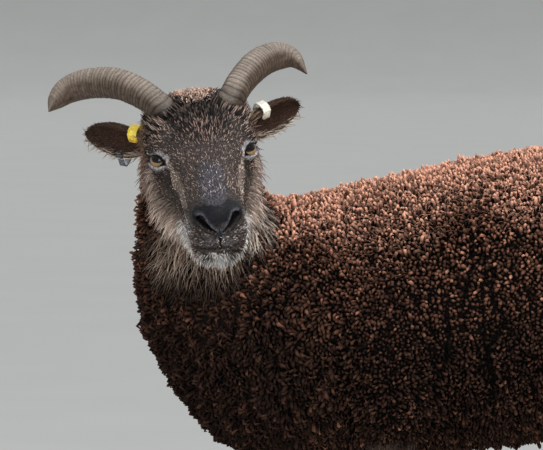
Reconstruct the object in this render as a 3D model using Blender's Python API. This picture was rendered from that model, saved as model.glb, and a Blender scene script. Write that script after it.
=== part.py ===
"""A horned Soay sheep at life size, standing side on with its head turned to its left.

Metres, +Z up. The sheep faces -X and its left flank faces -Y. The origin is on the floor, under the
middle of the sheep's box. The body is a few lofts through named sections. The fleece on it is rounded
clumps, each rooted in a core that is half as high as they are.
"""

import math

import bmesh
import bpy
import numpy as np
from mathutils import Matrix, Vector
from mathutils.bvhtree import BVHTree
from mathutils.kdtree import KDTree

# Driving sizes
GAP = 0.0003
BOX_CENTRE = Vector((0.013, -0.0495, 0.0))
FLEECE_RISE = 0.018
CLUMP_SPACING = 0.0625
CLUMP_HALF_WIDTH = 0.0415
CLUMP_HALF_HEIGHT = 0.028
CLUMP_OUT = 0.004
CLUMP_SEED = 11
POLL_CLUMP = 0.016
EYE_RADIUS = 0.0135
EYE_OUT = 0.0465
EYE_TILT = 22.0
LID_DEPTH = 0.0026
LID_HALF_LENGTH = 0.0112
LID_UPPER = 0.0062
LID_LOWER = 0.0050
HORN_SUNK = (-0.010, -0.012, -0.013)
EAR_LENGTH = 0.084
EAR_HALF_WIDTH = 0.0250
EAR_HALF_DEPTH = 0.0125
EAR_WALL = 0.003
HOOF_HEIGHT = 0.030
HOOF_LENGTH = 0.042
CLAW_WIDTH = 0.0165
CLEFT = 0.0022

# Where the middle of the head stands, and how the head is turned and tilted, in degrees
HEAD_PLACE = Vector((-0.2636, -0.145, 0.565))
HEAD_YAW = 9.6
HEAD_DOWN = 31.0
HEAD_ROLL = 8.0

# Trunk and neck at the tips of the fleece, from the rump forward. Each section has its top and its
# bottom in the side view, its half width, its lean to the sheep's left, and how square it is.
TRUNK_SECTIONS = [
    # top x, z        bottom x, z      half width, lean, power
    (0.428, 0.470, 0.420, 0.398, 0.030, 0.000, 2.0),
    (0.424, 0.502, 0.414, 0.350, 0.072, 0.000, 2.0),
    (0.402, 0.536, 0.394, 0.304, 0.108, 0.000, 2.1),
    (0.350, 0.567, 0.345, 0.270, 0.133, 0.000, 2.2),
    (0.260, 0.578, 0.262, 0.254, 0.144, 0.000, 2.3),
    (0.160, 0.573, 0.170, 0.234, 0.153, 0.000, 2.3),
    (0.060, 0.559, 0.080, 0.222, 0.148, 0.000, 2.3),
    (-0.030, 0.540, -0.020, 0.210, 0.138, 0.000, 2.2),
    (-0.100, 0.525, -0.132, 0.202, 0.130, 0.000, 2.1),
    (-0.150, 0.514, -0.234, 0.220, 0.118, -0.002, 2.1),
    (-0.180, 0.512, -0.296, 0.282, 0.103, -0.008, 2.1),
    (-0.202, 0.517, -0.318, 0.346, 0.086, -0.020, 2.1),
    (-0.223, 0.536, -0.319, 0.410, 0.071, -0.034, 2.1),
    (-0.240, 0.564, -0.315, 0.466, 0.060, -0.049, 2.0),
    (-0.254, 0.586, -0.309, 0.512, 0.049, -0.063, 2.0),
    (-0.264, 0.594, -0.294, 0.548, 0.030, -0.075, 2.0),
]

# Fleeced tops of the legs on the sheep's left: centre x, y, z, half length, half width
SHOULDER_SECTIONS = [
    (-0.050, 0.075, 0.455, 0.040, 0.026),
    (-0.052, 0.084, 0.430, 0.074, 0.050),
    (-0.050, 0.086, 0.370, 0.092, 0.062),
    (-0.044, 0.084, 0.305, 0.080, 0.060),
    (-0.047, 0.082, 0.262, 0.056, 0.050),
    (-0.050, 0.080, 0.236, 0.040, 0.038),
    (-0.051, 0.080, 0.226, 0.022, 0.021),
]
THIGH_SECTIONS = [
    (0.335, 0.070, 0.480, 0.040, 0.028),
    (0.332, 0.082, 0.450, 0.080, 0.054),
    (0.325, 0.090, 0.385, 0.098, 0.064),
    (0.318, 0.090, 0.320, 0.090, 0.060),
    (0.340, 0.087, 0.270, 0.062, 0.050),
    (0.358, 0.084, 0.244, 0.042, 0.036),
    (0.364, 0.084, 0.234, 0.024, 0.021),
]

# Bare legs on the sheep's left, out to their short hair: centre x, y, z, half length, half width
FORELEG_SECTIONS = [
    (-0.044, 0.080, 0.315, 0.020, 0.018),
    (-0.045, 0.080, 0.300, 0.034, 0.027),
    (-0.048, 0.080, 0.250, 0.031, 0.026),
    (-0.054, 0.080, 0.212, 0.0245, 0.0215),
    (-0.057, 0.080, 0.186, 0.0230, 0.0220),
    (-0.058, 0.080, 0.170, 0.0225, 0.0220),
    (-0.055, 0.080, 0.148, 0.0160, 0.0155),
    (-0.053, 0.080, 0.115, 0.0140, 0.0130),
    (-0.052, 0.080, 0.088, 0.0150, 0.0135),
    (-0.053, 0.080, 0.068, 0.0195, 0.0180),
    (-0.059, 0.080, 0.048, 0.0165, 0.0170),
    (-0.065, 0.080, 0.036, 0.0180, 0.0185),
    (-0.067, 0.080, 0.030, 0.0190, 0.0190),
]
HINDLEG_SECTIONS = [
    (0.345, 0.084, 0.330, 0.022, 0.018),
    (0.345, 0.084, 0.310, 0.036, 0.026),
    (0.356, 0.084, 0.262, 0.034, 0.026),
    (0.378, 0.084, 0.222, 0.0250, 0.0195),
    (0.394, 0.084, 0.194, 0.0265, 0.0200),
    (0.393, 0.084, 0.174, 0.0215, 0.0180),
    (0.386, 0.084, 0.145, 0.0165, 0.0145),
    (0.379, 0.084, 0.112, 0.0150, 0.0130),
    (0.374, 0.084, 0.088, 0.0160, 0.0140),
    (0.371, 0.084, 0.068, 0.0205, 0.0185),
    (0.364, 0.084, 0.048, 0.0170, 0.0170),
    (0.357, 0.084, 0.036, 0.0185, 0.0185),
    (0.355, 0.084, 0.030, 0.0195, 0.0190),
]

# Each leg: its sections, which side it is on (1 is the sheep's left), and how far its foot is set back
LEGS = {
    "front_left": (FORELEG_SECTIONS, 1, -0.006),
    "front_right": (FORELEG_SECTIONS, -1, 0.020),
    "hind_left": (HINDLEG_SECTIONS, 1, 0.016),
    "hind_right": (HINDLEG_SECTIONS, -1, -0.018),
}

# Tail: centre x, z, half thickness, half width
TAIL_SECTIONS = [
    (0.372, 0.500, 0.014, 0.014),
    (0.395, 0.506, 0.022, 0.023),
    (0.422, 0.500, 0.023, 0.025),
    (0.440, 0.474, 0.021, 0.024),
    (0.446, 0.440, 0.018, 0.021),
    (0.446, 0.405, 0.014, 0.016),
    (0.444, 0.382, 0.008, 0.009),
    (0.443, 0.374, 0.003, 0.003),
]

# Head, along its own axis from behind the poll to the nose: the place on the axis, the top, the
# bottom, the height where it is widest, its half width there, and how square it is
HEAD_SECTIONS = [
    (-0.122, -0.010, -0.042, -0.026, 0.014, 2.0),
    (-0.117, 0.004, -0.056, -0.024, 0.031, 2.0),
    (-0.100, 0.024, -0.078, -0.020, 0.046, 2.1),
    (-0.075, 0.037, -0.091, -0.016, 0.055, 2.2),
    (-0.045, 0.047, -0.096, -0.012, 0.059, 2.3),
    (-0.018, 0.050, -0.094, -0.008, 0.0585, 2.3),
    (0.008, 0.046, -0.088, -0.008, 0.0550, 2.3),
    (0.032, 0.039, -0.082, -0.016, 0.0475, 2.2),
    (0.056, 0.032, -0.078, -0.024, 0.0405, 2.2),
    (0.080, 0.026, -0.074, -0.030, 0.0350, 2.3),
    (0.100, 0.020, -0.071, -0.031, 0.0325, 2.3),
    (0.115, 0.013, -0.067, -0.030, 0.0300, 2.2),
    (0.125, 0.004, -0.058, -0.028, 0.0245, 2.1),
    (0.130, -0.007, -0.047, -0.027, 0.0175, 2.0),
    (0.1325, -0.018, -0.038, -0.027, 0.0080, 2.0),
]

# Soft pushes that shape the head: place, reach and push, each along, out and up. Those that stand off
# the middle are made on both sides.
HEAD_PUSHES = {
    "brow": ((-0.006, 0.044, 0.022), 0.022, (0.001, 0.006, 0.004)),
    "orbit_back": ((-0.022, 0.052, 0.004), 0.018, (0.000, 0.004, 0.000)),
    "front_of_eye": ((0.026, 0.048, -0.006), 0.022, (0.000, -0.009, 0.000)),
    "cheek": ((-0.030, 0.045, -0.045), 0.034, (0.000, 0.006, 0.000)),
    "jaw_hollow": ((0.050, 0.036, -0.052), 0.026, (0.000, -0.005, 0.002)),
    "nose_side": ((0.060, 0.036, 0.012), 0.026, (0.000, -0.004, 0.000)),
    "nostril_wing": ((0.116, 0.026, 0.002), 0.016, (0.003, 0.003, 0.001)),
    "upper_lip": ((0.112, 0.026, -0.024), 0.018, (0.003, 0.002, 0.000)),
    "chin": ((0.108, 0.000, -0.056), 0.022, (0.001, 0.000, -0.002)),
    "poll": ((-0.060, 0.000, 0.044), 0.026, (0.000, 0.000, 0.002)),
    "bridge": ((0.060, 0.000, 0.032), 0.026, (0.000, 0.000, 0.002)),
}

# Rows of ruff locks: first and last place along the head, the height and how far out their roots
# are, length, and how many on a side
RUFF_ROWS = [
    (-0.072, 0.018, -0.048, 0.070, 0.024, 5),
    (-0.066, 0.058, -0.078, 0.055, 0.030, 5),
    (0.000, 0.090, -0.100, 0.000, 0.026, 3),
]
RUFF_HALF_WIDTH = 0.0125
RUFF_SEED = 8

# Horn middle lines, out from the root in the head's own directions: back, out and up; and the share
# of the full section at each point
HORN_PATHS = {
    "right": [
        (0.000, 0.000, 0.000),
        (0.021, 0.018, 0.007),
        (0.043, 0.041, 0.009),
        (0.059, 0.069, 0.004),
        (0.064, 0.095, -0.004),
        (0.054, 0.112, -0.010),
        (0.038, 0.122, -0.013),
    ],
    "left": [
        (0.000, 0.000, 0.000),
        (0.019, 0.012, 0.005),
        (0.041, 0.029, 0.008),
        (0.059, 0.047, 0.007),
        (0.066, 0.065, 0.005),
        (0.059, 0.080, 0.003),
        (0.038, 0.091, -0.005),
    ],
}
HORN_BASE = Vector((-0.045, 0.041, 0.041))
HORN_HALF_DEPTH = 0.0185
HORN_HALF_WIDTH = 0.0145
HORN_TAPER = [1.0, 1.02, 1.04, 1.0, 0.88, 0.60, 0.05]
HORN_RINGS = 11

# Ears: root, the way it points and the way its cup opens, each along, out and up in the head's axes
EARS = {
    "left": ((-0.046, 0.053, -0.005), (-0.55, 0.82, -0.10), (0.78, 0.50, -0.20)),
    "right": ((-0.046, 0.054, -0.011), (-0.55, 0.82, -0.06), (0.80, 0.46, -0.18)),
}

# The ear's spoon: the share of its length, and the shares of its half width and half depth there
EAR_SHARES = [
    (-0.16, 0.34, 0.60),
    (-0.02, 0.42, 0.80),
    (0.15, 0.62, 1.00),
    (0.35, 0.90, 1.05),
    (0.55, 1.00, 0.95),
    (0.75, 0.84, 0.75),
    (0.90, 0.52, 0.50),
    (0.97, 0.26, 0.28),
    (1.00, 0.07, 0.08),
]

# Loop tags: the ear, the share of its length, which rim, the band's width, how deep the loop is from
# front to back, how far its bend stands off the rim, and how far its ends are from the bend
TAGS = {
    "ear_tag_yellow": ("right", 0.22, 1, 0.0110, 0.0170, 0.0032, 0.0122),
    "ear_tag_white": ("left", 0.31, 1, 0.0105, 0.0170, 0.0032, 0.0122),
    "ear_tag_metal": ("right", 0.50, -1, 0.0065, 0.0180, 0.0140, 0.0215),
}
TAG_COLOURS = {
    "ear_tag_yellow": "yellow_plastic",
    "ear_tag_white": "white_plastic",
    "ear_tag_metal": "steel",
}
TAG_BAND = 0.0014
TAG_PIN = 0.0024

COLOURS = {
    "fleece": ((0.060, 0.030, 0.020, 1.0), 0.95, 0.0),
    "face": ((0.100, 0.070, 0.055, 1.0), 0.90, 0.0),
    "leg": ((0.075, 0.045, 0.032, 1.0), 0.90, 0.0),
    "horn": ((0.300, 0.230, 0.180, 1.0), 0.60, 0.0),
    "hoof": ((0.045, 0.038, 0.034, 1.0), 0.55, 0.0),
    "eye": ((0.250, 0.120, 0.030, 1.0), 0.08, 0.0),
    "yellow_plastic": ((0.850, 0.600, 0.050, 1.0), 0.45, 0.0),
    "white_plastic": ((0.780, 0.760, 0.700, 1.0), 0.45, 0.0),
    "steel": ((0.550, 0.560, 0.580, 1.0), 0.30, 1.0),
}


def clear_scene():
    for item in list(bpy.data.objects):
        bpy.data.objects.remove(item)


def material(name):
    found = bpy.data.materials.get(name)
    if found:
        return found
    colour, roughness, metallic = COLOURS[name]
    made = bpy.data.materials.new(name)
    made.use_nodes = True
    shader = made.node_tree.nodes["Principled BSDF"]
    shader.inputs["Base Color"].default_value = colour
    shader.inputs["Roughness"].default_value = roughness
    shader.inputs["Metallic"].default_value = metallic
    return made


def collection(name, shown=True):
    found = bpy.data.collections.get(name)
    if not found:
        found = bpy.data.collections.new(name)
        bpy.context.scene.collection.children.link(found)
        found.hide_render = not shown
    return found


def new_object(name, mesh, where="soay_sheep"):
    made = bpy.data.objects.new(name, mesh)
    collection(where, where == "soay_sheep").objects.link(made)
    if where != "soay_sheep":
        made.hide_render = True
        made.display_type = "WIRE"
    return made


def finish_mesh(shape, name):
    """A mesh of triangles from a bmesh, closed, with its faces pointing out."""
    bmesh.ops.triangulate(shape, faces=shape.faces[:])
    shape.normal_update()
    bmesh.ops.recalc_face_normals(shape, faces=shape.faces)
    mesh = bpy.data.meshes.new(name)
    shape.to_mesh(mesh)
    shape.free()
    return mesh


def spline(rows, count):
    """Rows of numbers made into count rows on a smooth curve that passes through them."""
    rows = np.array(rows, float)
    padded = np.vstack([2 * rows[0] - rows[1], rows, 2 * rows[-1] - rows[-2]])
    at = np.linspace(0, len(rows) - 1, count)
    first = np.minimum(at.astype(int), len(rows) - 2)
    t = (at - first)[:, None]
    p0, p1, p2, p3 = (padded[first + i] for i in range(4))
    return 0.5 * (
        2 * p1
        + (p2 - p0) * t
        + (2 * p0 - 5 * p1 + 4 * p2 - p3) * t**2
        + (3 * p1 - p0 - 3 * p2 + p3) * t**3
    )


class Loft:
    """A closed tube through sections. Each section is a middle point and the steps from it to the
    section's top, bottom and side. Places on it are a share of its length and an angle from the top."""

    DENSE = 240

    def __init__(self, middles, tops, bottoms, sides, powers):
        rows = np.hstack([middles, tops, bottoms, sides, np.array(powers, float)[:, None]])
        dense = spline(rows, self.DENSE)
        steps = np.linalg.norm(np.diff(dense[:, :3], axis=0), axis=1)
        along = np.concatenate([[0], np.cumsum(steps)])
        self.length = along[-1]
        self.share = along / along[-1]
        self.rows = dense

    def at(self, share, angle):
        """Points of the surface. Share and angle are arrays of one length."""
        row = np.stack([np.interp(share, self.share, c) for c in self.rows.T], axis=1)
        middle, top, bottom, side, power = row[:, :3], row[:, 3:6], row[:, 6:9], row[:, 9:12], row[:, 12:]
        up, out = np.cos(angle)[:, None], np.sin(angle)[:, None]
        tall = np.abs(up) ** (2 / power)
        wide = np.sign(out) * np.abs(out) ** (2 / power)
        return middle + wide * side + tall * np.where(up >= 0, top, bottom)

    def mesh(self, name, shares, sides, shape=None):
        """A closed mesh with a ring at each share. Shape, if given, moves the points first."""
        turn = np.linspace(0, 2 * math.pi, sides, endpoint=False)
        share, angle = np.repeat(shares, sides), np.tile(turn, len(shares))
        points = self.at(share, angle)
        if shape:
            points = shape(points)
        built = bmesh.new()
        rings = [[built.verts.new(p) for p in ring] for ring in points.reshape(len(shares), sides, 3)]
        for low, high in zip(rings, rings[1:]):
            for i in range(sides):
                j = (i + 1) % sides
                built.faces.new((low[i], low[j], high[j], high[i]))
        built.faces.new(rings[0])
        built.faces.new(rings[-1])
        return finish_mesh(built, name)


def trunk_loft(inset):
    """The trunk and neck, inset evenly from the tips of the fleece."""
    rows = np.array(TRUNK_SECTIONS)
    lean = rows[:, 5]
    top = np.stack([rows[:, 0], lean, rows[:, 1]], axis=1)
    bottom = np.stack([rows[:, 2], lean, rows[:, 3]], axis=1)
    middle = (top + bottom) / 2
    travel = np.gradient(middle, axis=0)
    side = np.stack([travel[:, 1], -travel[:, 0], np.zeros(len(rows))], axis=1)
    side /= np.linalg.norm(side, axis=1)[:, None]
    half = (top - bottom) / 2
    tall = np.linalg.norm(half, axis=1)
    shrink_tall = np.maximum(tall - inset, 0.25 * tall) / tall
    wide = np.maximum(rows[:, 4] - inset, 0.25 * rows[:, 4])
    half *= shrink_tall[:, None]
    middle[:3, 0] -= inset
    return Loft(middle, half, -half, side * wide[:, None], rows[:, 6])


def limb_loft(sections, side, foot_back=0.0, inset=0.0):
    """A leg or the fleeced top of one. Sections are across the limb, and the foot is set back evenly
    from the elbow or stifle down."""
    rows = np.array(sections)
    pivot = rows[1, 2]
    low = np.clip((pivot - rows[:, 2]) / pivot, 0, 1)
    middle = np.stack([rows[:, 0] + foot_back * low, -side * rows[:, 1], rows[:, 2]], axis=1)
    travel = np.gradient(middle, axis=0)
    travel[-3:] = (0, 0, -1)
    travel /= np.linalg.norm(travel, axis=1)[:, None]
    front = np.stack([travel[:, 2], np.zeros(len(rows)), -travel[:, 0]], axis=1)
    half_length = np.maximum(rows[:, 3] - inset, 0.6 * rows[:, 3])
    half_width = np.maximum(rows[:, 4] - inset, 0.6 * rows[:, 4])
    ahead = front * half_length[:, None]
    across = np.stack([np.zeros(len(rows)), half_width, np.zeros(len(rows))], axis=1)
    return Loft(middle, ahead, -ahead, across, np.full(len(rows), 2.1))


def tail_loft():
    rows = np.array(TAIL_SECTIONS)
    middle = np.stack([rows[:, 0], np.zeros(len(rows)), rows[:, 1]], axis=1)
    travel = np.gradient(middle, axis=0)
    travel /= np.linalg.norm(travel, axis=1)[:, None]
    back = np.stack([-travel[:, 2], np.zeros(len(rows)), travel[:, 0]], axis=1) * rows[:, 2:3]
    across = np.stack([np.zeros(len(rows)), rows[:, 3], np.zeros(len(rows))], axis=1)
    return Loft(middle, back, -back, across, np.full(len(rows), 2.0))


def head_matrix():
    """From the head's own axes, which are along to the nose, out to the sheep's left, and up."""
    yaw, down, roll = (math.radians(x) for x in (HEAD_YAW, HEAD_DOWN, HEAD_ROLL))
    along = Vector((math.sin(yaw) * math.cos(down), -math.cos(yaw) * math.cos(down), -math.sin(down)))
    level = Vector((math.cos(yaw), math.sin(yaw), 0))
    above = along.cross(level)
    out = level * math.cos(roll) + above * math.sin(roll)
    up = above * math.cos(roll) - level * math.sin(roll)
    turned = Matrix((along, out, up)).transposed().to_4x4()
    turned.translation = HEAD_PLACE
    return turned


def head_loft():
    rows = np.array(HEAD_SECTIONS)
    nothing = np.zeros(len(rows))
    middle = np.stack([rows[:, 0], nothing, rows[:, 3]], axis=1)
    top = np.stack([nothing, nothing, rows[:, 1] - rows[:, 3]], axis=1)
    bottom = np.stack([nothing, nothing, rows[:, 2] - rows[:, 3]], axis=1)
    side = np.stack([nothing, rows[:, 4], nothing], axis=1)
    return Loft(middle, top, bottom, side, rows[:, 5])


def push_head(points):
    """The soft pushes, on both sides, for points in the head's own axes."""
    moved = points.copy()
    for place, reach, push in HEAD_PUSHES.values():
        for side in (1, -1) if place[1] else (1,):
            flip = np.array((1, side, 1))
            far = np.linalg.norm(points - np.array(place) * flip, axis=1) / reach
            share = np.clip(1 - far**2, 0, 1) ** 2
            moved += share[:, None] * np.array(push) * flip
    return moved


def evaluated_mesh(item):
    bpy.context.view_layer.update()
    graph = bpy.context.evaluated_depsgraph_get()
    return bpy.data.meshes.new_from_object(item.evaluated_get(graph))


def apply_boolean(item, operation, other, solver="MANIFOLD"):
    """Joins other to item, or cuts it out. Other is an object, or a collection of closed objects."""
    step = item.modifiers.new(operation.lower(), "BOOLEAN")
    step.operation = operation
    step.solver = solver
    if isinstance(other, bpy.types.Collection):
        step.operand_type = "COLLECTION"
        step.collection = other
    else:
        step.object = other
    mesh = evaluated_mesh(item)
    item.modifiers.clear()
    item.data = mesh


def keep_largest(item):
    """Keeps only the closed surface with the most room in it."""
    built = bmesh.new()
    built.from_mesh(item.data)
    left, groups = set(built.faces), []
    while left:
        seed = left.pop()
        group, edge = {seed}, [seed]
        while edge:
            face = edge.pop()
            for near in (f for e in face.edges for f in e.link_faces):
                if near in left:
                    left.remove(near)
                    group.add(near)
                    edge.append(near)
        low, high = (
            [limit(v.co[i] for f in group for v in f.verts) for i in range(3)] for limit in (min, max)
        )
        groups.append((math.prod(b - a for a, b in zip(low, high)), group))
    groups.sort(key=lambda g: g[0])
    for _, group in groups[:-1]:
        bmesh.ops.delete(built, geom=list(group), context="FACES")
    built.to_mesh(item.data)
    built.free()


def ease_apart(item, near=2e-6, by=1e-5):
    """Closes up needless short edges, then draws in corners that stand where another one does."""
    built = bmesh.new()
    built.from_mesh(item.data)
    bmesh.ops.dissolve_degenerate(built, dist=near, edges=built.edges[:])
    bmesh.ops.triangulate(built, faces=[f for f in built.faces if len(f.verts) > 3])
    built.normal_update()
    tree = KDTree(len(built.verts))
    corners = list(built.verts)
    for i, corner in enumerate(corners):
        tree.insert(corner.co, i)
    tree.balance()
    close = [c for c in corners if len(tree.find_range(c.co, near)) > 1]
    for corner in close:
        corner.co -= corner.normal * by
    built.to_mesh(item.data)
    built.free()


def grown(item, by=GAP):
    """A hidden copy of a plain shape, larger all over by the gap that touching pieces keep."""
    mesh = evaluated_mesh(item)
    mesh.transform(item.matrix_world)
    shift = np.empty(len(mesh.vertices) * 3, np.float32)
    place = np.empty_like(shift)
    mesh.vertices.foreach_get("normal", shift)
    mesh.vertices.foreach_get("co", place)
    mesh.vertices.foreach_set("co", place + by * shift)
    return new_object(item.name + "_room", mesh, "cutters")


def join_all(item, others, solver="MANIFOLD"):
    """One union of item with closed objects, which are then removed."""
    if not others:
        return
    group = collection("joined", False)
    for other in others:
        group.objects.link(other)
    apply_boolean(item, "UNION", group, solver)
    for other in others:
        bpy.data.objects.remove(other)
    keep_largest(item)


def plate(name, point, facing, size=0.9):
    """A block with one face through point, on the side that facing points to."""
    built = bmesh.new()
    bmesh.ops.create_cube(built, size=size)
    mesh = finish_mesh(built, name)
    made = new_object(name, mesh, "cutters")
    turn = Vector(facing).normalized().to_track_quat("Z", "Y").to_matrix().to_4x4()
    mesh.transform(Matrix.Translation(Vector(point) + Vector(facing).normalized() * size / 2) @ turn)
    return made


def sphere(name, centre, radius, around, along, where="soay_sheep", scale=(1, 1, 1), turn=None):
    built = bmesh.new()
    bmesh.ops.create_uvsphere(built, u_segments=around, v_segments=along, radius=radius)
    mesh = finish_mesh(built, name)
    mesh.transform(Matrix.Diagonal((*scale, 1)))
    if turn:
        mesh.transform(turn)
    mesh.transform(Matrix.Translation(centre))
    return new_object(name, mesh, where)


def tube(name, points, radii, sides, where="soay_sheep", flat=1.0, normal=None):
    """A closed tube along points, with a radius at each. It is flattened across the normal."""
    points = [Vector(p) for p in points]
    built, rings = bmesh.new(), []
    for i, point in enumerate(points):
        travel = (points[min(i + 1, len(points) - 1)] - points[max(i - 1, 0)]).normalized()
        if normal is None:
            normal = travel.orthogonal()
        normal = (normal - travel * normal.dot(travel)).normalized()
        other = travel.cross(normal)
        ring = []
        for k in range(sides):
            turn = 2 * math.pi * k / sides
            ring.append(
                built.verts.new(point + radii[i] * (math.cos(turn) * normal + flat * math.sin(turn) * other))
            )
        rings.append(ring)
    for low, high in zip(rings, rings[1:]):
        for k in range(sides):
            j = (k + 1) % sides
            built.faces.new((low[k], low[j], high[j], high[k]))
    built.faces.new(rings[0])
    built.faces.new(rings[-1])
    return new_object(name, finish_mesh(built, name), where)


def eye_axes(side):
    """The middle of an eyeball and the ways it looks, along its lids, and up, in the head's axes."""
    looks = Vector((0.80, 0.63 * side, 0.29)).normalized()
    forward = Vector((1, 0, 0))
    level = (forward - looks * forward.dot(looks)).normalized()
    above = level.cross(looks) * side
    tilt = math.radians(EYE_TILT)
    along = level * math.cos(tilt) + above * math.sin(tilt)
    up = above * math.cos(tilt) - level * math.sin(tilt)
    return Vector((-0.001, EYE_OUT * side, 0.000)), looks, along, up


def almond(side, depth):
    """The opening between the lids, from inside the eyeball out, for a cut through the lids."""
    centre, looks, along, up = eye_axes(side)
    built, ends = bmesh.new(), []
    for reach, wide in ((0.2, 0.75), (depth, 1.12)):
        ring = []
        for k in range(14):
            turn = 2 * math.pi * k / 14
            across = math.cos(turn) * LID_HALF_LENGTH
            rise = math.sin(turn) * (LID_UPPER if math.sin(turn) > 0 else LID_LOWER)
            rise -= 0.0012 * math.cos(turn)
            place = centre + looks * EYE_RADIUS * reach + (along * across + up * rise) * wide
            ring.append(built.verts.new(place))
        ends.append(ring)
        built.faces.new(ring)
    for k in range(14):
        j = (k + 1) % 14
        built.faces.new((ends[0][k], ends[0][j], ends[1][j], ends[1][k]))
    return new_object("eye_opening", finish_mesh(built, "eye_opening"), "cutters")


def lid_ball(side):
    """The skin over an eyeball, before it is opened."""
    centre, looks, _, _ = eye_axes(side)
    turn = looks.to_track_quat("Z", "Y").to_matrix().to_4x4()
    return sphere("lid_ball", centre, EYE_RADIUS + LID_DEPTH, 12, 8, "cutters", turn=turn)


def lid_fold(side):
    """The crease and roll above an upper lid, from the back corner to the front one."""
    centre, looks, along, up = eye_axes(side)
    points, size = [], EYE_RADIUS + LID_DEPTH
    for step in np.linspace(-1, 1, 8):
        flat = along * (0.0135 * step) + up * (0.0105 - 0.0075 * step * step)
        points.append(centre + flat + looks * math.sqrt(max(size**2 - flat.length_squared, 0)))
    return tube("lid_fold", points, [0.0010, 0.0018, 0.0023, 0.0025, 0.0025, 0.0023, 0.0018, 0.0010], 6, "cutters")


def mouth_line():
    """The groove between the lips, from one corner round the front to the other."""
    half = [(0.078, 0.0400, -0.031), (0.098, 0.0365, -0.0365), (0.115, 0.0325, -0.039), (0.127, 0.021, -0.0385)]
    whole = half + [(0.1325, 0.0, -0.0370)] + [(a, -b, c) for a, b, c in reversed(half)]
    return spline(whole, 13)


def snap_out(points, tree, inset):
    """Points moved to the skin nearest to them, then in by inset."""
    found = []
    for p in points:
        place, normal, _, _ = tree.find_nearest(Vector(p))
        found.append(place - normal * inset)
    return found


def make_eyes():
    eyes = []
    for side, name in ((1, "left"), (-1, "right")):
        centre, looks, *_ = eye_axes(side)
        turn = looks.to_track_quat("Z", "Y").to_matrix().to_4x4()
        eye = sphere(f"eye_{name}", centre, EYE_RADIUS, 12, 8, turn=turn)
        eye.data.materials.append(material("eye"))
        eyes.append(eye)
    return eyes


def skin_point(tree, place, sunk=0.0):
    """The place on the head nearest to this one, and the way its skin faces there."""
    near, normal, _, _ = tree.find_nearest(Vector(place))
    return near - normal * sunk, normal


def ruff_locks(tree):
    """Flat tapered locks along the cheeks, the jaw and the chin, bending down and back."""
    chance = np.random.default_rng(RUFF_SEED)
    locks = []
    for first, last, height, out, length, count in RUFF_ROWS:
        for side in (1, -1) if out else (1,):
            for step in range(count):
                along = first + (last - first) * (step + chance.uniform(-0.15, 0.15)) / max(count - 1, 1)
                root, normal = skin_point(tree, (along, out * side, height), 0.006)
                back = Vector((-1, 0, 0))
                reach = length * chance.uniform(0.85, 1.15)
                start = (normal + 0.45 * back).normalized()
                end = (0.45 * normal + 0.55 * back + Vector((0, 0, -0.55))).normalized()
                points = [root, root + start * (0.006 + 0.35 * reach)]
                points.append(points[-1] + (start + end).normalized() * 0.35 * reach)
                points.append(points[-1] + end * 0.38 * reach)
                wide = normal.cross(start).normalized()
                radii = [w * RUFF_HALF_WIDTH for w in (0.95, 1.0, 0.72, 0.10)]
                locks.append(tube("ruff_lock", points, radii, 4, "cutters", 0.42, wide))
    return locks


def poll_clumps(tree):
    """The woolly crest on the poll, between the horns."""
    chance = np.random.default_rng(RUFF_SEED + 1)
    clumps = []
    for along, out in ((-0.052, 0.0), (-0.056, 0.018), (-0.056, -0.018), (-0.076, 0.009), (-0.076, -0.011)):
        place, normal = skin_point(tree, (along, out, 0.060))
        clumps.append(clump(place + normal * 0.001, normal, chance, POLL_CLUMP, 0.8 * POLL_CLUMP))
    return clumps


def make_head(pose, eyes):
    shares = np.concatenate([[0, 0.04], np.linspace(0.10, 0.90, 14), [0.94, 0.97, 0.988, 1.0]])
    plain = new_object("head", head_loft().mesh("head", shares, 20, push_head))
    tree = BVHTree.FromObject(plain, bpy.context.evaluated_depsgraph_get())
    rear = new_object("head_plain", plain.data.copy(), "cutters")
    rear.data.transform(pose)

    join_all(plain, [make(side) for side in (1, -1) for make in (lid_ball, lid_fold)])
    for side in (1, -1):
        apply_boolean(plain, "DIFFERENCE", almond(side, 1.5))
    for eye in eyes:
        apply_boolean(plain, "DIFFERENCE", grown(eye, GAP * 1.3))
    for side in (1, -1):
        bend = Matrix.Rotation(math.radians(-42 * side), 4, "X") @ Matrix.Rotation(math.radians(20 * side), 4, "Z")
        nostril = sphere(
            "nostril", (0.128, 0.0160 * side, -0.0065), 1.0, 10, 6, "cutters", (0.012, 0.0105, 0.0036), bend
        )
        apply_boolean(plain, "DIFFERENCE", nostril)
    groove = tube("mouth_groove", snap_out(mouth_line(), tree, 0.0), [0.0016] * 13, 4, "cutters")
    apply_boolean(plain, "DIFFERENCE", groove)
    cleft = [(0.132, 0.0, -0.0165 - 0.0047 * i) for i in range(5)]
    philtrum = tube("philtrum_groove", snap_out(cleft, tree, 0.0), [0.0013] * 5, 4, "cutters")
    apply_boolean(plain, "DIFFERENCE", philtrum)
    locks = ruff_locks(tree) + poll_clumps(tree)
    rooms = [grown(lock) for lock in locks]
    join_all(plain, locks)
    keep_largest(plain)
    for item in (plain, *rooms):
        item.data.transform(pose)
    return plain, rear, rooms


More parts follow.
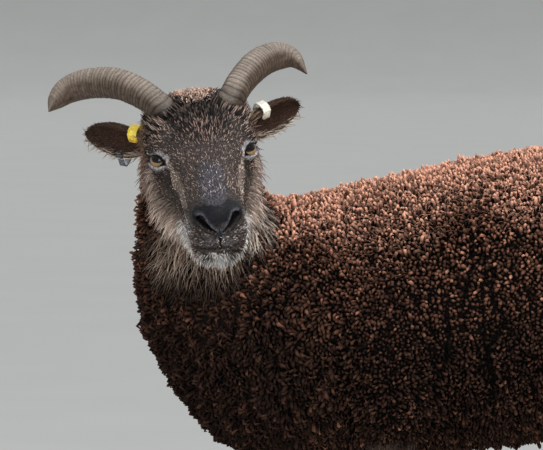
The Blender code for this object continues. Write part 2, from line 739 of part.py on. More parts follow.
def horn_loft(name, side):
    """A horn along its middle line, its outline swelling into rings that a year's growth leaves."""
    steps = np.array(HORN_PATHS[name]) * np.array((-1, side, 1))
    root = np.array(HORN_BASE) * np.array((1, side, 1))
    sunk = np.array(HORN_SUNK) * np.array((-1, side, 1))
    count = HORN_RINGS * 3
    line = spline(np.vstack([sunk, steps]) + root, count)
    taper = spline([[t] for t in [1.0, *HORN_TAPER]], count)[:, 0]
    travel = np.gradient(line, axis=0)
    travel /= np.linalg.norm(travel, axis=1)[:, None]
    keel = np.zeros_like(travel)
    above = np.array((0.35, 0.0, 1.0))
    for i, way in enumerate(travel):
        keel[i] = above - way * (above @ way)
        keel[i] /= np.linalg.norm(keel[i])
        above = keel[i]
    across = np.cross(travel, keel)
    ring = 1 + 0.035 * np.cos(np.arange(count) * 2 * math.pi / 3)
    size = np.maximum(taper * ring, 0.05)
    tall = keel * (HORN_HALF_DEPTH * size)[:, None]
    wide = across * (HORN_HALF_WIDTH * size)[:, None]
    return line, tall, wide


def make_horns(pose):
    for name, side in (("left", 1), ("right", -1)):
        line, tall, wide = horn_loft(name, side)
        built, rings, sides = bmesh.new(), [], 8
        for middle, up, out in zip(line, tall, wide):
            turns = [2 * math.pi * k / sides for k in range(sides)]
            rings.append([built.verts.new(middle + math.cos(t) * up + math.sin(t) * out) for t in turns])
        for low, high in zip(rings, rings[1:]):
            for k in range(sides):
                j = (k + 1) % sides
                built.faces.new((low[k], low[j], high[j], high[k]))
        built.faces.new(rings[0])
        built.faces.new(rings[-1])
        horn = new_object(f"horn_{name}", finish_mesh(built, f"horn_{name}"))
        horn.data.transform(pose)
        horn.data.materials.append(material("horn"))


def ear_frame(name):
    side = 1 if name == "left" else -1
    root, points, opens = (Vector((a, b * side, c)) for a, b, c in EARS[name])
    points.normalize()
    opens = (opens - points * opens.dot(points)).normalized()
    return root, points, opens, opens.cross(points) * side


def ear_loft(name, lift):
    """A leaf-shaped spoon along the ear, or with a lift the one before it that hollows its cup."""
    root, points, opens, up = (np.array(v) for v in ear_frame(name))
    rows = np.array(EAR_SHARES)
    if lift:
        rows = rows[1:]
        rows[0, 1:] *= 0.45
    along = rows[:, :1] * EAR_LENGTH
    wide = rows[:, 1:2] * EAR_HALF_WIDTH
    deep = rows[:, 2:3] * EAR_HALF_DEPTH
    middle = root + along * points + opens * (deep * lift)
    back = deep * (1 + lift) - (EAR_WALL if lift else 0) * np.minimum(1, deep / 0.004)
    return Loft(middle, opens * back, -opens * back, up * wide, np.full(len(rows), 2.0))


def tag_parts(tag):
    """A loop tag: a band bent over the ear's rim, with a pin through the ear near its ends."""
    name, share, rim, width, loop, off, hang = TAGS[tag]
    root, points, opens, up = ear_frame(name)
    shares = np.array(EAR_SHARES)
    half = np.interp(share, shares[:, 0], shares[:, 1]) * EAR_HALF_WIDTH
    down = -up * rim
    top = root + points * (share * EAR_LENGTH) + up * (rim * (half + off))
    middle = top - opens * 0.004
    outline = [(loop / 2, hang), (loop / 2, 0.004), (loop / 2 - 0.003, 0.0008), (0, 0)]
    outline += [(-a, b) for a, b in reversed(outline[:-1])]
    built, rings = bmesh.new(), []
    for i, (front, low) in enumerate(outline):
        before, after = outline[max(i - 1, 0)], outline[min(i + 1, len(outline) - 1)]
        way = Vector((after[0] - before[0], after[1] - before[1])).normalized()
        inward = opens * way.y - down * way.x
        ring = []
        for thick, along in ((0.5, 0.5), (0.5, -0.5), (-0.5, -0.5), (-0.5, 0.5)):
            place = middle + opens * front + down * low
            ring.append(built.verts.new(place + inward * (thick * TAG_BAND) + points * (along * width)))
        rings.append(ring)
    for one, two in zip(rings, rings[1:]):
        for k in range(4):
            j = (k + 1) % 4
            built.faces.new((one[k], one[j], two[j], two[k]))
    built.faces.new(rings[0])
    built.faces.new(rings[-1])
    band = new_object(tag, finish_mesh(built, tag))
    pin_place = middle + down * (hang - 0.0045)
    ends = [pin_place + opens * (loop / 2 + TAG_PIN * 0.6), pin_place - opens * (loop / 2 + TAG_PIN * 0.6)]
    join_all(band, [tube("pin", ends, [TAG_PIN, TAG_PIN], 6, "cutters")])
    return band


def make_ears(pose):
    """The ears and the tags in them. Returns the room that each ear needs, with its cup filled."""
    rooms = []
    for name in ("left", "right"):
        ear = new_object(f"ear_{name}", ear_loft(name, 0.0).mesh("ear", np.linspace(0, 1, 10), 10))
        rooms.append(grown(ear))
        rooms[-1].data.transform(pose)
        cup = new_object("cup", ear_loft(name, 0.7).mesh("cup", np.linspace(0, 1, 9), 10), "cutters")
        apply_boolean(ear, "DIFFERENCE", cup)
        keep_largest(ear)
        for tag in (t for t in TAGS if TAGS[t][0] == name):
            band = tag_parts(tag)
            apply_boolean(ear, "DIFFERENCE", grown(band))
            band.data.transform(pose)
            band.data.materials.append(material(TAG_COLOURS[tag]))
        keep_largest(ear)
        ear.data.transform(pose)
        ear.data.materials.append(material("face"))
    return rooms


def claw(name, foot, inner):
    """Half of a hoof: a block that narrows to the toe, flat below, with its inner wall along the cleft."""
    built = bmesh.new()
    bmesh.ops.create_cube(built, size=1.0)
    bmesh.ops.subdivide_edges(built, edges=built.edges[:], cuts=1, use_grid_fill=True)
    for v in built.verts:
        ahead = 0.5 - v.co.x
        height = v.co.z + 0.5
        out = v.co.y + 0.5
        length = HOOF_LENGTH * (1 - 0.30 * height)
        narrow = 1 - 0.45 * max(ahead - 0.35, 0) ** 1.5 * 1.6 - 0.12 * height - 0.25 * max(0.3 - ahead, 0)
        x = -(ahead - 0.42) * length + 0.004 * height
        y = CLEFT / 2 + out * CLAW_WIDTH * narrow
        slope = 0.0 if height < 0.01 else 1.0
        drop = 1 - 0.52 * slope * max(ahead - 0.45, 0)
        v.co = Vector((x, y * inner, height * HOOF_HEIGHT * drop))
    mesh = finish_mesh(built, name)
    mesh.transform(Matrix.Translation((foot[0] - 0.004, foot[1], 0)))
    made = new_object(name, mesh)
    made.data.materials.append(material("hoof"))
    return made


def make_legs():
    rooms = []
    for name, (sections, side, foot_back) in LEGS.items():
        loft = limb_loft(sections, side, foot_back)
        leg = new_object(f"leg_{name}", loft.mesh("leg", np.linspace(0, 1, 14), 10))
        rooms.append(grown(leg))
        foot = loft.rows[-1, :3]
        floor = plate("hoof_room", (0, 0, HOOF_HEIGHT + GAP), (0, 0, -1), 0.4)
        floor.data.transform(Matrix.Translation((foot[0], foot[1], 0)))
        apply_boolean(leg, "DIFFERENCE", floor)
        fetlock = loft.at(np.array([0.86, 0.86]), np.array([math.pi * 0.84, math.pi * 1.16]))
        dewclaws = [
            sphere("dewclaw", Vector(p), 1.0, 6, 4, "cutters", (0.006, 0.0045, 0.008)) for p in fetlock
        ]
        join_all(leg, dewclaws)
        leg.data.materials.append(material("leg"))
        for inner, label in ((1, "a"), (-1, "b")):
            claw(f"hoof_{name}_{label}", foot, inner)
    return rooms


def plain_body(name, inset, rings=24, sides=16):
    """The trunk and neck with the fleeced tops of the legs, as one closed form."""
    body = new_object(name, trunk_loft(inset).mesh(name, np.linspace(0, 1, rings), sides))
    tops = []
    for sections in (SHOULDER_SECTIONS, THIGH_SECTIONS):
        for side in (1, -1):
            loft = limb_loft(sections, side, 0.0, inset)
            tops.append(new_object("leg_top", loft.mesh("leg_top", np.linspace(0, 1, 8), 10), "cutters"))
    join_all(body, tops)
    return body


def spread(mesh, spacing, seed, tries=7000):
    """Places and normals over a mesh, no two of them closer than the spacing."""
    chance = np.random.default_rng(seed)
    mesh.calc_loop_triangles()
    corners = np.array([t.vertices for t in mesh.loop_triangles])
    points = np.array([v.co for v in mesh.vertices])
    a, b, c = (points[corners[:, i]] for i in range(3))
    facing = np.cross(b - a, c - a)
    area = np.linalg.norm(facing, axis=1)
    pick = chance.choice(len(area), tries, p=area / area.sum())
    u, v = chance.random((2, tries, 1))
    fold = u + v > 1
    u, v = np.where(fold, 1 - u, u), np.where(fold, 1 - v, v)
    places = a[pick] + u * (b - a)[pick] + v * (c - a)[pick]
    kept = []
    for i, place in enumerate(places):
        if not kept or np.min(np.linalg.norm(places[kept] - place, axis=1)) > spacing:
            kept.append(i)
    return places[kept], facing[pick][kept] / area[pick][kept][:, None]


def clump(place, facing, chance, wide, tall, name="clump"):
    """One rounded clump of fleece, its tip at the place and its root sunk in the core."""
    normal = Vector(facing)
    droop = 0.30 * (1 - abs(normal.z))
    lean = (normal + Vector((0, 0, -droop))).normalized()
    turn = lean.to_track_quat("Z", "Y").to_matrix().to_4x4()
    spin = Matrix.Rotation(chance.uniform(0, 2 * math.pi), 4, "Z")
    size = chance.uniform(0.92, 1.08)
    across = wide * size * chance.uniform(0.92, 1.04)
    scale = (wide * size, across, tall * size)
    centre = Vector(place) - lean * (tall * size + chance.uniform(-0.001, 0.001) - CLUMP_OUT)
    return sphere(name, centre, 1.0, 6, 4, "cutters", scale, turn @ spin)


def fleece_clumps(tips, head_plain):
    """Clumps over the whole of the plain body, but for where the head stands in it."""
    chance = np.random.default_rng(CLUMP_SEED)
    places, facings = spread(tips.data, CLUMP_SPACING, CLUMP_SEED)
    tree = BVHTree.FromObject(head_plain, bpy.context.evaluated_depsgraph_get())
    clumps = []
    for place, facing in zip(places, facings):
        near, normal, _, far = tree.find_nearest(Vector(place))
        inside = (Vector(place) - near).dot(normal) < 0
        if far > 0.010 and not inside:
            clumps.append(clump(place, facing, chance, CLUMP_HALF_WIDTH, CLUMP_HALF_HEIGHT))
    return clumps


def part_neck(body):
    """Parts the neck from the torso with a thin cut across the front of the shoulders."""
    point, facing = Vector((-0.150, 0.0, 0.460)), Vector((-0.96, 0.0, 0.28)).normalized()
    neck = new_object("neck", body.data.copy())
    apply_boolean(neck, "INTERSECT", plate("neck_side", point, facing))
    apply_boolean(body, "INTERSECT", plate("torso_side", point - facing * GAP, -facing, 1.6))
    keep_largest(neck)
    keep_largest(body)
    return neck


def make_tail():
    tail = new_object("tail", tail_loft().mesh("tail", np.linspace(0, 1, 10), 8))
    tail.data.materials.append(material("fleece"))
    return grown(tail)


def centre_on_floor():
    for item in collection("soay_sheep").objects:
        item.data.transform(Matrix.Translation(-BOX_CENTRE))
        item.data.set_sharp_from_angle(angle=math.radians(40))


def main():
    clear_scene()
    pose = head_matrix()
    eyes = make_eyes()
    head, head_plain, lock_rooms = make_head(pose, eyes)
    for eye in eyes:
        eye.data.transform(pose)
    make_horns(pose)
    ear_rooms = make_ears(pose)
    tips = plain_body("body_tips", 0.0)
    tips.hide_render = True
    body = plain_body("torso", FLEECE_RISE)
    join_all(body, fleece_clumps(tips, head_plain))
    bpy.data.objects.remove(tips)
    neck = part_neck(body)
    for room in (grown(head_plain), *lock_rooms):
        apply_boolean(neck, "DIFFERENCE", room)
    keep_largest(neck)
    for room in [*make_legs(), make_tail()]:
        apply_boolean(body, "DIFFERENCE", room)
    keep_largest(body)
    for room in (*ear_rooms, *(grown(bpy.data.objects[name]) for name in ("horn_left", "horn_right"))):
        apply_boolean(head, "DIFFERENCE", room)
        apply_boolean(neck, "DIFFERENCE", room)
    for item in (head, neck, body):
        keep_largest(item)
        ease_apart(item)
    head.data.materials.append(material("face"))
    body.data.materials.append(material("fleece"))
    neck.data.materials.append(material("fleece"))
    centre_on_floor()


main()
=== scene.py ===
"""The looks of a horned Soay sheep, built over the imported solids, which are its fixed frame.

Metres, +Z up. The sheep faces -X and its left flank faces -Y. Shapes are made where they were before
the part was centred, and add_piece moves each one by the same step as the solids.
"""

import math

import bmesh
import bpy
import numpy as np
from mathutils import Matrix, Vector
from mathutils.bvhtree import BVHTree

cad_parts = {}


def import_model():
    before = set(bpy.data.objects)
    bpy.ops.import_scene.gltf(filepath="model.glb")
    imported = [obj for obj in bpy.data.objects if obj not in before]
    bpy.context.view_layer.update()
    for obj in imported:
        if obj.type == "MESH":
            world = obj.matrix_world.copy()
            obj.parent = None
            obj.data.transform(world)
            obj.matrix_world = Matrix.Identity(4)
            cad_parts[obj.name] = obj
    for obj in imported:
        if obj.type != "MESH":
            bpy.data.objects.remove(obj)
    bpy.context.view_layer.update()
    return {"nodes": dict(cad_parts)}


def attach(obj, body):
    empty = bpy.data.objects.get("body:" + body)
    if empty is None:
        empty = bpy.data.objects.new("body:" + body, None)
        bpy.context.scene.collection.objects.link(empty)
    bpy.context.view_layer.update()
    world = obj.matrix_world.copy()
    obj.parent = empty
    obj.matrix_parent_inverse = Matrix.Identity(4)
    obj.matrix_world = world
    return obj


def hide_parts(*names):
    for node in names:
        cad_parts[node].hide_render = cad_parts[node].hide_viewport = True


# Sizes shared with the solids

BOX_CENTRE = Vector((0.013, -0.0495, 0.0))
FLEECE_RISE = 0.018
EYE_RADIUS = 0.0135
EYE_OUT = 0.0465
EYE_TILT = 22.0
HORN_SUNK = (-0.010, -0.012, -0.013)
EAR_LENGTH = 0.084
EAR_HALF_WIDTH = 0.0250
EAR_HALF_DEPTH = 0.0125
EAR_WALL = 0.003
HOOF_HEIGHT = 0.030
HOOF_LENGTH = 0.042
CLAW_WIDTH = 0.0165
CLEFT = 0.0022
# Where the middle of the head stands, and how the head is turned and tilted, in degrees
HEAD_PLACE = Vector((-0.2636, -0.145, 0.565))
HEAD_YAW = 9.6
HEAD_DOWN = 31.0
HEAD_ROLL = 8.0
# Trunk and neck at the tips of the fleece, from the rump forward, in millimetres. Each section has its
# top x, z and its bottom x, z in the side view, its half width, its lean, and how square it is.
TRUNK_SECTIONS = [
    (428, 470, 420, 398, 30, 0, 2.0),
    (424, 502, 414, 350, 72, 0, 2.0),
    (402, 536, 394, 304, 108, 0, 2.1),
    (350, 567, 345, 270, 133, 0, 2.2),
    (260, 578, 262, 254, 144, 0, 2.3),
    (160, 573, 170, 234, 153, 0, 2.3),
    (60, 559, 80, 222, 148, 0, 2.3),
    (-30, 540, -20, 210, 138, 0, 2.2),
    (-100, 525, -132, 202, 130, 0, 2.1),
    (-150, 514, -234, 220, 118, -2, 2.1),
    (-180, 512, -296, 282, 103, -8, 2.1),
    (-202, 517, -318, 346, 86, -20, 2.1),
    (-223, 536, -319, 410, 71, -34, 2.1),
    (-240, 564, -315, 466, 60, -49, 2.0),
    (-254, 586, -309, 512, 49, -63, 2.0),
    (-264, 594, -294, 548, 30, -75, 2.0),
]
# Fleeced tops of the legs on the sheep's left, in millimetres: centre x, y, z, half length, half width
SHOULDER_SECTIONS = [
    (-50, 75, 455, 40, 26),
    (-52, 84, 430, 74, 50),
    (-50, 86, 370, 92, 62),
    (-44, 84, 305, 80, 60),
    (-47, 82, 262, 56, 50),
    (-50, 80, 236, 40, 38),
    (-51, 80, 226, 22, 21),
]
THIGH_SECTIONS = [
    (335, 70, 480, 40, 28),
    (332, 82, 450, 80, 54),
    (325, 90, 385, 98, 64),
    (318, 90, 320, 90, 60),
    (340, 87, 270, 62, 50),
    (358, 84, 244, 42, 36),
    (364, 84, 234, 24, 21),
]
# Bare legs on the sheep's left, out to their short hair, given the same way
FORELEG_SECTIONS = [
    (-44, 80, 315, 20, 18),
    (-45, 80, 300, 34, 27),
    (-48, 80, 250, 31, 26),
    (-54, 80, 212, 24.5, 21.5),
    (-57, 80, 186, 23, 22),
    (-58, 80, 170, 22.5, 22),
    (-55, 80, 148, 16, 15.5),
    (-53, 80, 115, 14, 13),
    (-52, 80, 88, 15, 13.5),
    (-53, 80, 68, 19.5, 18),
    (-59, 80, 48, 16.5, 17),
    (-65, 80, 36, 18, 18.5),
    (-67, 80, 30, 19, 19),
]
HINDLEG_SECTIONS = [
    (345, 84, 330, 22, 18),
    (345, 84, 310, 36, 26),
    (356, 84, 262, 34, 26),
    (378, 84, 222, 25, 19.5),
    (394, 84, 194, 26.5, 20),
    (393, 84, 174, 21.5, 18),
    (386, 84, 145, 16.5, 14.5),
    (379, 84, 112, 15, 13),
    (374, 84, 88, 16, 14),
    (371, 84, 68, 20.5, 18.5),
    (364, 84, 48, 17, 17),
    (357, 84, 36, 18.5, 18.5),
    (355, 84, 30, 19.5, 19),
]
# Each leg: its sections, which side it is on (1 is the sheep's left), and how far its foot is set back
LEGS = {
    "front_left": (FORELEG_SECTIONS, 1, -0.006),
    "front_right": (FORELEG_SECTIONS, -1, 0.020),
    "hind_left": (HINDLEG_SECTIONS, 1, 0.016),
    "hind_right": (HINDLEG_SECTIONS, -1, -0.018),
}
# Tail, in millimetres: centre x, z, half thickness, half width
TAIL_SECTIONS = [
    (372, 500, 14, 14),
    (395, 506, 22, 23),
    (422, 500, 23, 25),
    (440, 474, 21, 24),
    (446, 440, 18, 21),
    (446, 405, 14, 16),
    (444, 382, 8, 9),
    (443, 374, 3, 3),
]
# Head, along its own axis from behind the poll to the nose, in millimetres: the place on the axis, the
# top, the bottom, the height where it is widest, its half width there, and how square it is
HEAD_SECTIONS = [
    (-122, -10, -42, -26, 14, 2.0),
    (-117, 4, -56, -24, 31, 2.0),
    (-100, 24, -78, -20, 46, 2.1),
    (-75, 37, -91, -16, 55, 2.2),
    (-45, 47, -96, -12, 59, 2.3),
    (-18, 50, -94, -8, 58.5, 2.3),
    (8, 46, -88, -8, 55, 2.3),
    (32, 39, -82, -16, 47.5, 2.2),
    (56, 32, -78, -24, 40.5, 2.2),
    (80, 26, -74, -30, 35, 2.3),
    (100, 20, -71, -31, 32.5, 2.3),
    (115, 13, -67, -30, 30, 2.2),
    (125, 4, -58, -28, 24.5, 2.1),
    (130, -7, -47, -27, 17.5, 2.0),
    (132.5, -18, -38, -27, 8, 2.0),
]
# Soft pushes that shape the head: place, reach and push, each along, out and up. Those that stand off
# the middle are made on both sides.
HEAD_PUSHES = {
    "brow": ((-0.006, 0.044, 0.022), 0.022, (0.001, 0.006, 0.004)),
    "orbit_back": ((-0.022, 0.052, 0.004), 0.018, (0.000, 0.004, 0.000)),
    "front_of_eye": ((0.026, 0.048, -0.006), 0.022, (0.000, -0.009, 0.000)),
    "cheek": ((-0.030, 0.045, -0.045), 0.034, (0.000, 0.006, 0.000)),
    "jaw_hollow": ((0.050, 0.036, -0.052), 0.026, (0.000, -0.005, 0.002)),
    "nose_side": ((0.060, 0.036, 0.012), 0.026, (0.000, -0.004, 0.000)),
    "nostril_wing": ((0.116, 0.026, 0.002), 0.016, (0.003, 0.003, 0.001)),
    "upper_lip": ((0.112, 0.026, -0.024), 0.018, (0.003, 0.002, 0.000)),
    "chin": ((0.108, 0.000, -0.056), 0.022, (0.001, 0.000, -0.002)),
    "poll": ((-0.060, 0.000, 0.044), 0.026, (0.000, 0.000, 0.002)),
    "bridge": ((0.060, 0.000, 0.032), 0.026, (0.000, 0.000, 0.002)),
}
# How the skin of the poll is sunk to leave room for the crest: place, reach and push
CREST_ROOM = ((-0.088, 0.000, 0.032), 0.045, (0.003, 0.000, -0.006))

# Horn middle lines, out from the root in the head's own directions: back, out and up; and the share
# of the full section at each point
HORN_PATHS = {
    "right": [
        (0.000, 0.000, 0.000),
        (0.021, 0.018, 0.007),
        (0.043, 0.041, 0.009),
        (0.059, 0.069, 0.004),
        (0.064, 0.095, -0.004),
        (0.054, 0.112, -0.010),
        (0.038, 0.122, -0.013),
    ],
    "left": [
        (0.000, 0.000, 0.000),
        (0.019, 0.012, 0.005),
        (0.041, 0.029, 0.008),
        (0.059, 0.047, 0.007),
        (0.066, 0.065, 0.005),
        (0.059, 0.080, 0.003),
        (0.038, 0.091, -0.005),
    ],
}
HORN_BASE = Vector((-0.045, 0.041, 0.041))
HORN_HALF_DEPTH = 0.0185
HORN_HALF_WIDTH = 0.0145
HORN_TAPER = [1.0, 1.02, 1.04, 1.0, 0.88, 0.60, 0.05]
HORN_RINGS = 300
HORN_SIDES = 40
# Ears: root, the way it points and the way its cup opens, each along, out and up in the head's axes
EARS = {
    "left": ((-0.046, 0.053, -0.005), (-0.55, 0.82, -0.10), (0.78, 0.50, -0.20)),
    "right": ((-0.046, 0.054, -0.011), (-0.55, 0.82, -0.06), (0.80, 0.46, -0.18)),
}
# The ear's spoon: the share of its length, and the shares of its half width and half depth there
EAR_SHARES = [
    (-0.16, 0.34, 0.60),
    (-0.02, 0.42, 0.80),
    (0.15, 0.62, 1.00),
    (0.35, 0.90, 1.05),
    (0.55, 1.00, 0.95),
    (0.75, 0.84, 0.75),
    (0.90, 0.52, 0.50),
    (0.97, 0.26, 0.28),
    (1.00, 0.07, 0.08),
]
# The two loop tags: the ear, the share of its length, and the middle of the clasp from the top of the
# rim, forward out of the cup and down
CLASPS = {"yellow": ("right", 0.22, 0.0050, 0.0118), "white": ("left", 0.31, 0.0050, 0.0118)}
CLASP_SIZE = (0.0098, 0.0030, 0.0042)

# Upright partings in the fleece of the flank: place along the body, and their lowest and highest height
CREASES = [
    (0.000, 0.455, 0.510),
    (0.008, 0.270, 0.400),
    (0.033, 0.370, 0.500),
    (0.050, 0.400, 0.530),
    (0.052, 0.280, 0.370),
    (0.066, 0.300, 0.440),
]

# The coat: how far apart its locks and hairs stand, the places tried for each one that is kept, and
# the most triangles in a piece
FLEECE_SPACING = 0.0037
FACE_SPACING = 0.00155
LEG_SPACING = 0.0042
EAR_SPACING = 0.0021
FRIZZ_SPACING = 0.0048
RUFF_SPACING = 0.0022
THROAT_SPACING = 0.0026
CREST_SPACING = 0.0021
TAIL_SPACING = 0.0050
TRIES_PER_PLACE = 5.0
TRIANGLES_PER_PIECE = 180000
LOCK_RADIUS = 0.0008
# The side of the patch that each lock has on the unwrap
PATCH = 0.003
# How thick the eyelids are, and how far the eye is open along its middle, above it and below it
LID_THICK = 0.0019
OPEN_HALF_LENGTH = 0.0122
OPEN_UPPER = 0.0064
OPEN_LOWER = 0.0052

# Parts of the unwrap that the roots of the coat are placed on: left, bottom, width, height
CHARTS = {
    "body": (0.01, 0.01, 0.48, 0.98),
    "head": (0.51, 0.51, 0.48, 0.48),
    "legs": (0.51, 0.01, 0.28, 0.48),
    "ears": (0.81, 0.01, 0.18, 0.48),
}

# Markings of the face in the head's axes, as soft capsules: start, end, reach, colour, strength.
# They are the same on both sides, and later ones lie over earlier ones.
FACE_BASE = (0.092, 0.072, 0.064)
FACE_MARKS = {
    "forehead": ((-0.044, 0.0, 0.046), (0.006, 0.0, 0.048), 0.038, (0.0135, 0.0100, 0.0085), 0.93),
    "upper_face": ((0.016, 0.0, 0.046), (0.040, 0.014, 0.036), 0.022, (0.075, 0.056, 0.050), 0.7),
    "beside_bridge": ((0.040, 0.026, 0.026), (0.090, 0.022, 0.008), 0.013, (0.135, 0.103, 0.092), 0.6),
    "bridge": ((0.080, 0.0, 0.027), (0.108, 0.0, 0.014), 0.018, (0.106, 0.102, 0.124), 0.70),
    "cheek": ((-0.005, 0.055, -0.046), (0.085, 0.037, -0.048), 0.030, (0.610, 0.470, 0.395), 1.0),
    "cheek_back": ((-0.060, 0.055, -0.020), (-0.020, 0.056, -0.058), 0.026, (0.165, 0.108, 0.083), 0.8),
    "under_eye": ((0.016, 0.052, -0.022), (0.070, 0.038, -0.024), 0.023, (0.050, 0.037, 0.031), 0.85),
    "ridge": ((0.020, 0.041, 0.012), (0.084, 0.034, -0.006), 0.0085, (0.400, 0.300, 0.250), 0.75),
    "upper_lip": ((0.122, 0.000, -0.027), (0.104, 0.034, -0.025), 0.015, (0.270, 0.255, 0.270), 0.9),
    "nose": ((0.124, 0.000, -0.003), (0.118, 0.018, 0.002), 0.0143, (0.006, 0.007, 0.012), 1.0),
    "chin": ((0.118, 0.000, -0.054), (0.078, 0.038, -0.050), 0.0175, (0.780, 0.750, 0.720), 1.0),
    "throat": ((0.060, 0.000, -0.085), (0.000, 0.000, -0.095), 0.034, (0.450, 0.340, 0.270), 0.9),
    "poll": ((-0.085, 0.0, 0.040), (-0.062, 0.0, 0.050), 0.026, (0.270, 0.165, 0.125), 0.9),
    "horn_root": ((-0.045, 0.041, 0.041), (-0.049, 0.045, 0.046), 0.022, (0.040, 0.029, 0.024), 0.8),
    "philtrum": ((0.134, 0.000, -0.016), (0.131, 0.000, -0.037), 0.0024, (0.004, 0.004, 0.004), 1.0),
}
EYE_RING = (0.500, 0.465, 0.475)
# Dark lid rims and lashes, wider above the eye as painted shadow under the upper lid.
LID_RIM_AND_SHADOW = (0.010, 0.008, 0.008)
# Painted highlight on the upper rims of the nostrils.
NOSTRIL_RIM_HIGHLIGHT = (0.125, 0.125, 0.150)
NOSTRIL_SHADE = (0.010, 0.010, 0.013)
# Painted shade deep inside the nostrils.
NOSTRIL_DEEP_SHADE = (0.003, 0.003, 0.003)
# Painted shade in the groove between the lips.
MOUTH_SHADE = (0.006, 0.005, 0.005)
RUFF_EDGE = (0.300, 0.155, 0.100)
# How near the joined skin has to be to a part that it was made from, to take that part's colour
SKIN_MATCH = 0.0006

# Patches of pale hair on the neck, below the jaw and behind it: middle and reach, along the body and up
BIBS = [((-0.270, 0.452), (0.060, 0.052)), ((-0.212, 0.482), (0.026, 0.034))]
BIB_COLOURS = np.array([(0.400, 0.300, 0.235), (0.600, 0.500, 0.420)])
BIB_EDGE = (0.036, 0.024, 0.018)

# Colours of the fleece: deep down, at the tips low on the body, and at the tips along the back
# The deep colour is painted shade between the locks, and is also laid on the skin under the fleece.
FLEECE_DEEP_SHADE = np.array((0.004, 0.0023, 0.0017))
FLEECE_TIP = np.array((0.112, 0.050, 0.031))
# Tips along the back: pale partly from sun bleaching and partly as painted top light.
FLEECE_BACK_BLEACHED_AND_LIT = np.array((0.620, 0.322, 0.222))
LEG_COLOUR = np.array((0.060, 0.038, 0.028))
EAR_SKIN = np.array((0.042, 0.022, 0.015))
HORN_COLOUR = np.array((0.094, 0.065, 0.047))
# Painted shade in the grooves between the horn's growth rings.
HORN_GROOVE = (0.014, 0.009, 0.007)

# Camera: what it looks at, how far off it is, how high above level, and its lens
CAMERA_TARGET = Vector((-0.2000, -0.1405, 0.48825))
CAMERA_AWAY = 5.0
CAMERA_RISE = 3.0
CAMERA_LENS = 298.6
# Lamps: the kind, the place, the size, the power, and how widely it shines, in degrees
LAMPS = {
    "key": ("AREA", (1.0, -1.7, 2.4), 1.4, 50, 180),
    "sky": ("SUN", (0.15, 0.35, 3.0), 1.2, 2.0, 180),
    "front": ("AREA", (-0.4, -3.0, 0.45), 1.6, 20.4, 120),
}
LAMP_TARGET = Vector((0, -0.05, 0.4))

# The studio floor: where it starts to curve up, the radius of that bend, and the height of its wall
STUDIO_FLAT = 26.0
STUDIO_BEND = 4.2
STUDIO_WALL = 5.2
STUDIO_SIDES = 64


def finish_mesh(shape, name):
    """A mesh of triangles from a bmesh, closed, with its faces pointing out."""
    bmesh.ops.triangulate(shape, faces=shape.faces[:])
    shape.normal_update()
    bmesh.ops.recalc_face_normals(shape, faces=shape.faces)
    mesh = bpy.data.meshes.new(name)
    shape.to_mesh(mesh)
    shape.free()
    return mesh


def spline(rows, count):
    """Rows of numbers made into count rows on a smooth curve that passes through them."""
    rows = np.array(rows, float)
    padded = np.vstack([2 * rows[0] - rows[1], rows, 2 * rows[-1] - rows[-2]])
    at = np.linspace(0, len(rows) - 1, count)
    first = np.minimum(at.astype(int), len(rows) - 2)
    t = (at - first)[:, None]
    p0, p1, p2, p3 = (padded[first + i] for i in range(4))
    return 0.5 * (
        2 * p1
        + (p2 - p0) * t
        + (2 * p0 - 5 * p1 + 4 * p2 - p3) * t**2
        + (3 * p1 - p0 - 3 * p2 + p3) * t**3
    )


def in_metres(rows, count):
    """Rows of numbers whose first ones, this many, are in millimetres."""
    rows = np.array(rows, float)
    rows[:, :count] /= 1000
    return rows


def columns(*values):
    """Numbers and lists of numbers side by side, as the columns of one array."""
    return np.stack(np.broadcast_arrays(*values), axis=1)


def unit(rows):
    return rows / np.maximum(np.linalg.norm(rows, axis=-1, keepdims=True), 1e-12)


def ease(low, high, value):
    """A smooth rise from 0 at low to 1 at high. Low may be the greater one."""
    t = np.clip((value - low) / (high - low), 0, 1)
    return t * t * (3 - 2 * t)


def bell(value, wide):
    """A bump that is 1 where the value is 0, and fades out over this width."""
    return np.exp(-((value / wide) ** 2))


def mix(base, tone, share):
    """Colours turned towards another one, by a share for each row."""
    share = share.reshape(-1, 1)
    return base * (1 - share) + np.array(tone) * share


def mirror(points):
    """Places in the head's axes, all brought to the sheep's left."""
    return np.abs(points) * np.array((0, 1, 0)) + points * np.array((1, 0, 1))


def only(keep, *lists):
    """The rows that are kept, of each list."""
    return [item[keep] for item in lists]


def tube_mesh(rings, name):
    """A closed mesh through rings of points."""
    built = bmesh.new()
    corners = [[built.verts.new(p) for p in ring] for ring in rings]
    for low, high in zip(corners, corners[1:]):
        for i in range(len(low)):
            j = (i + 1) % len(low)
            built.faces.new((low[i], low[j], high[j], high[i]))
    built.faces.new(corners[0])
    built.faces.new(corners[-1])
    return finish_mesh(built, name)


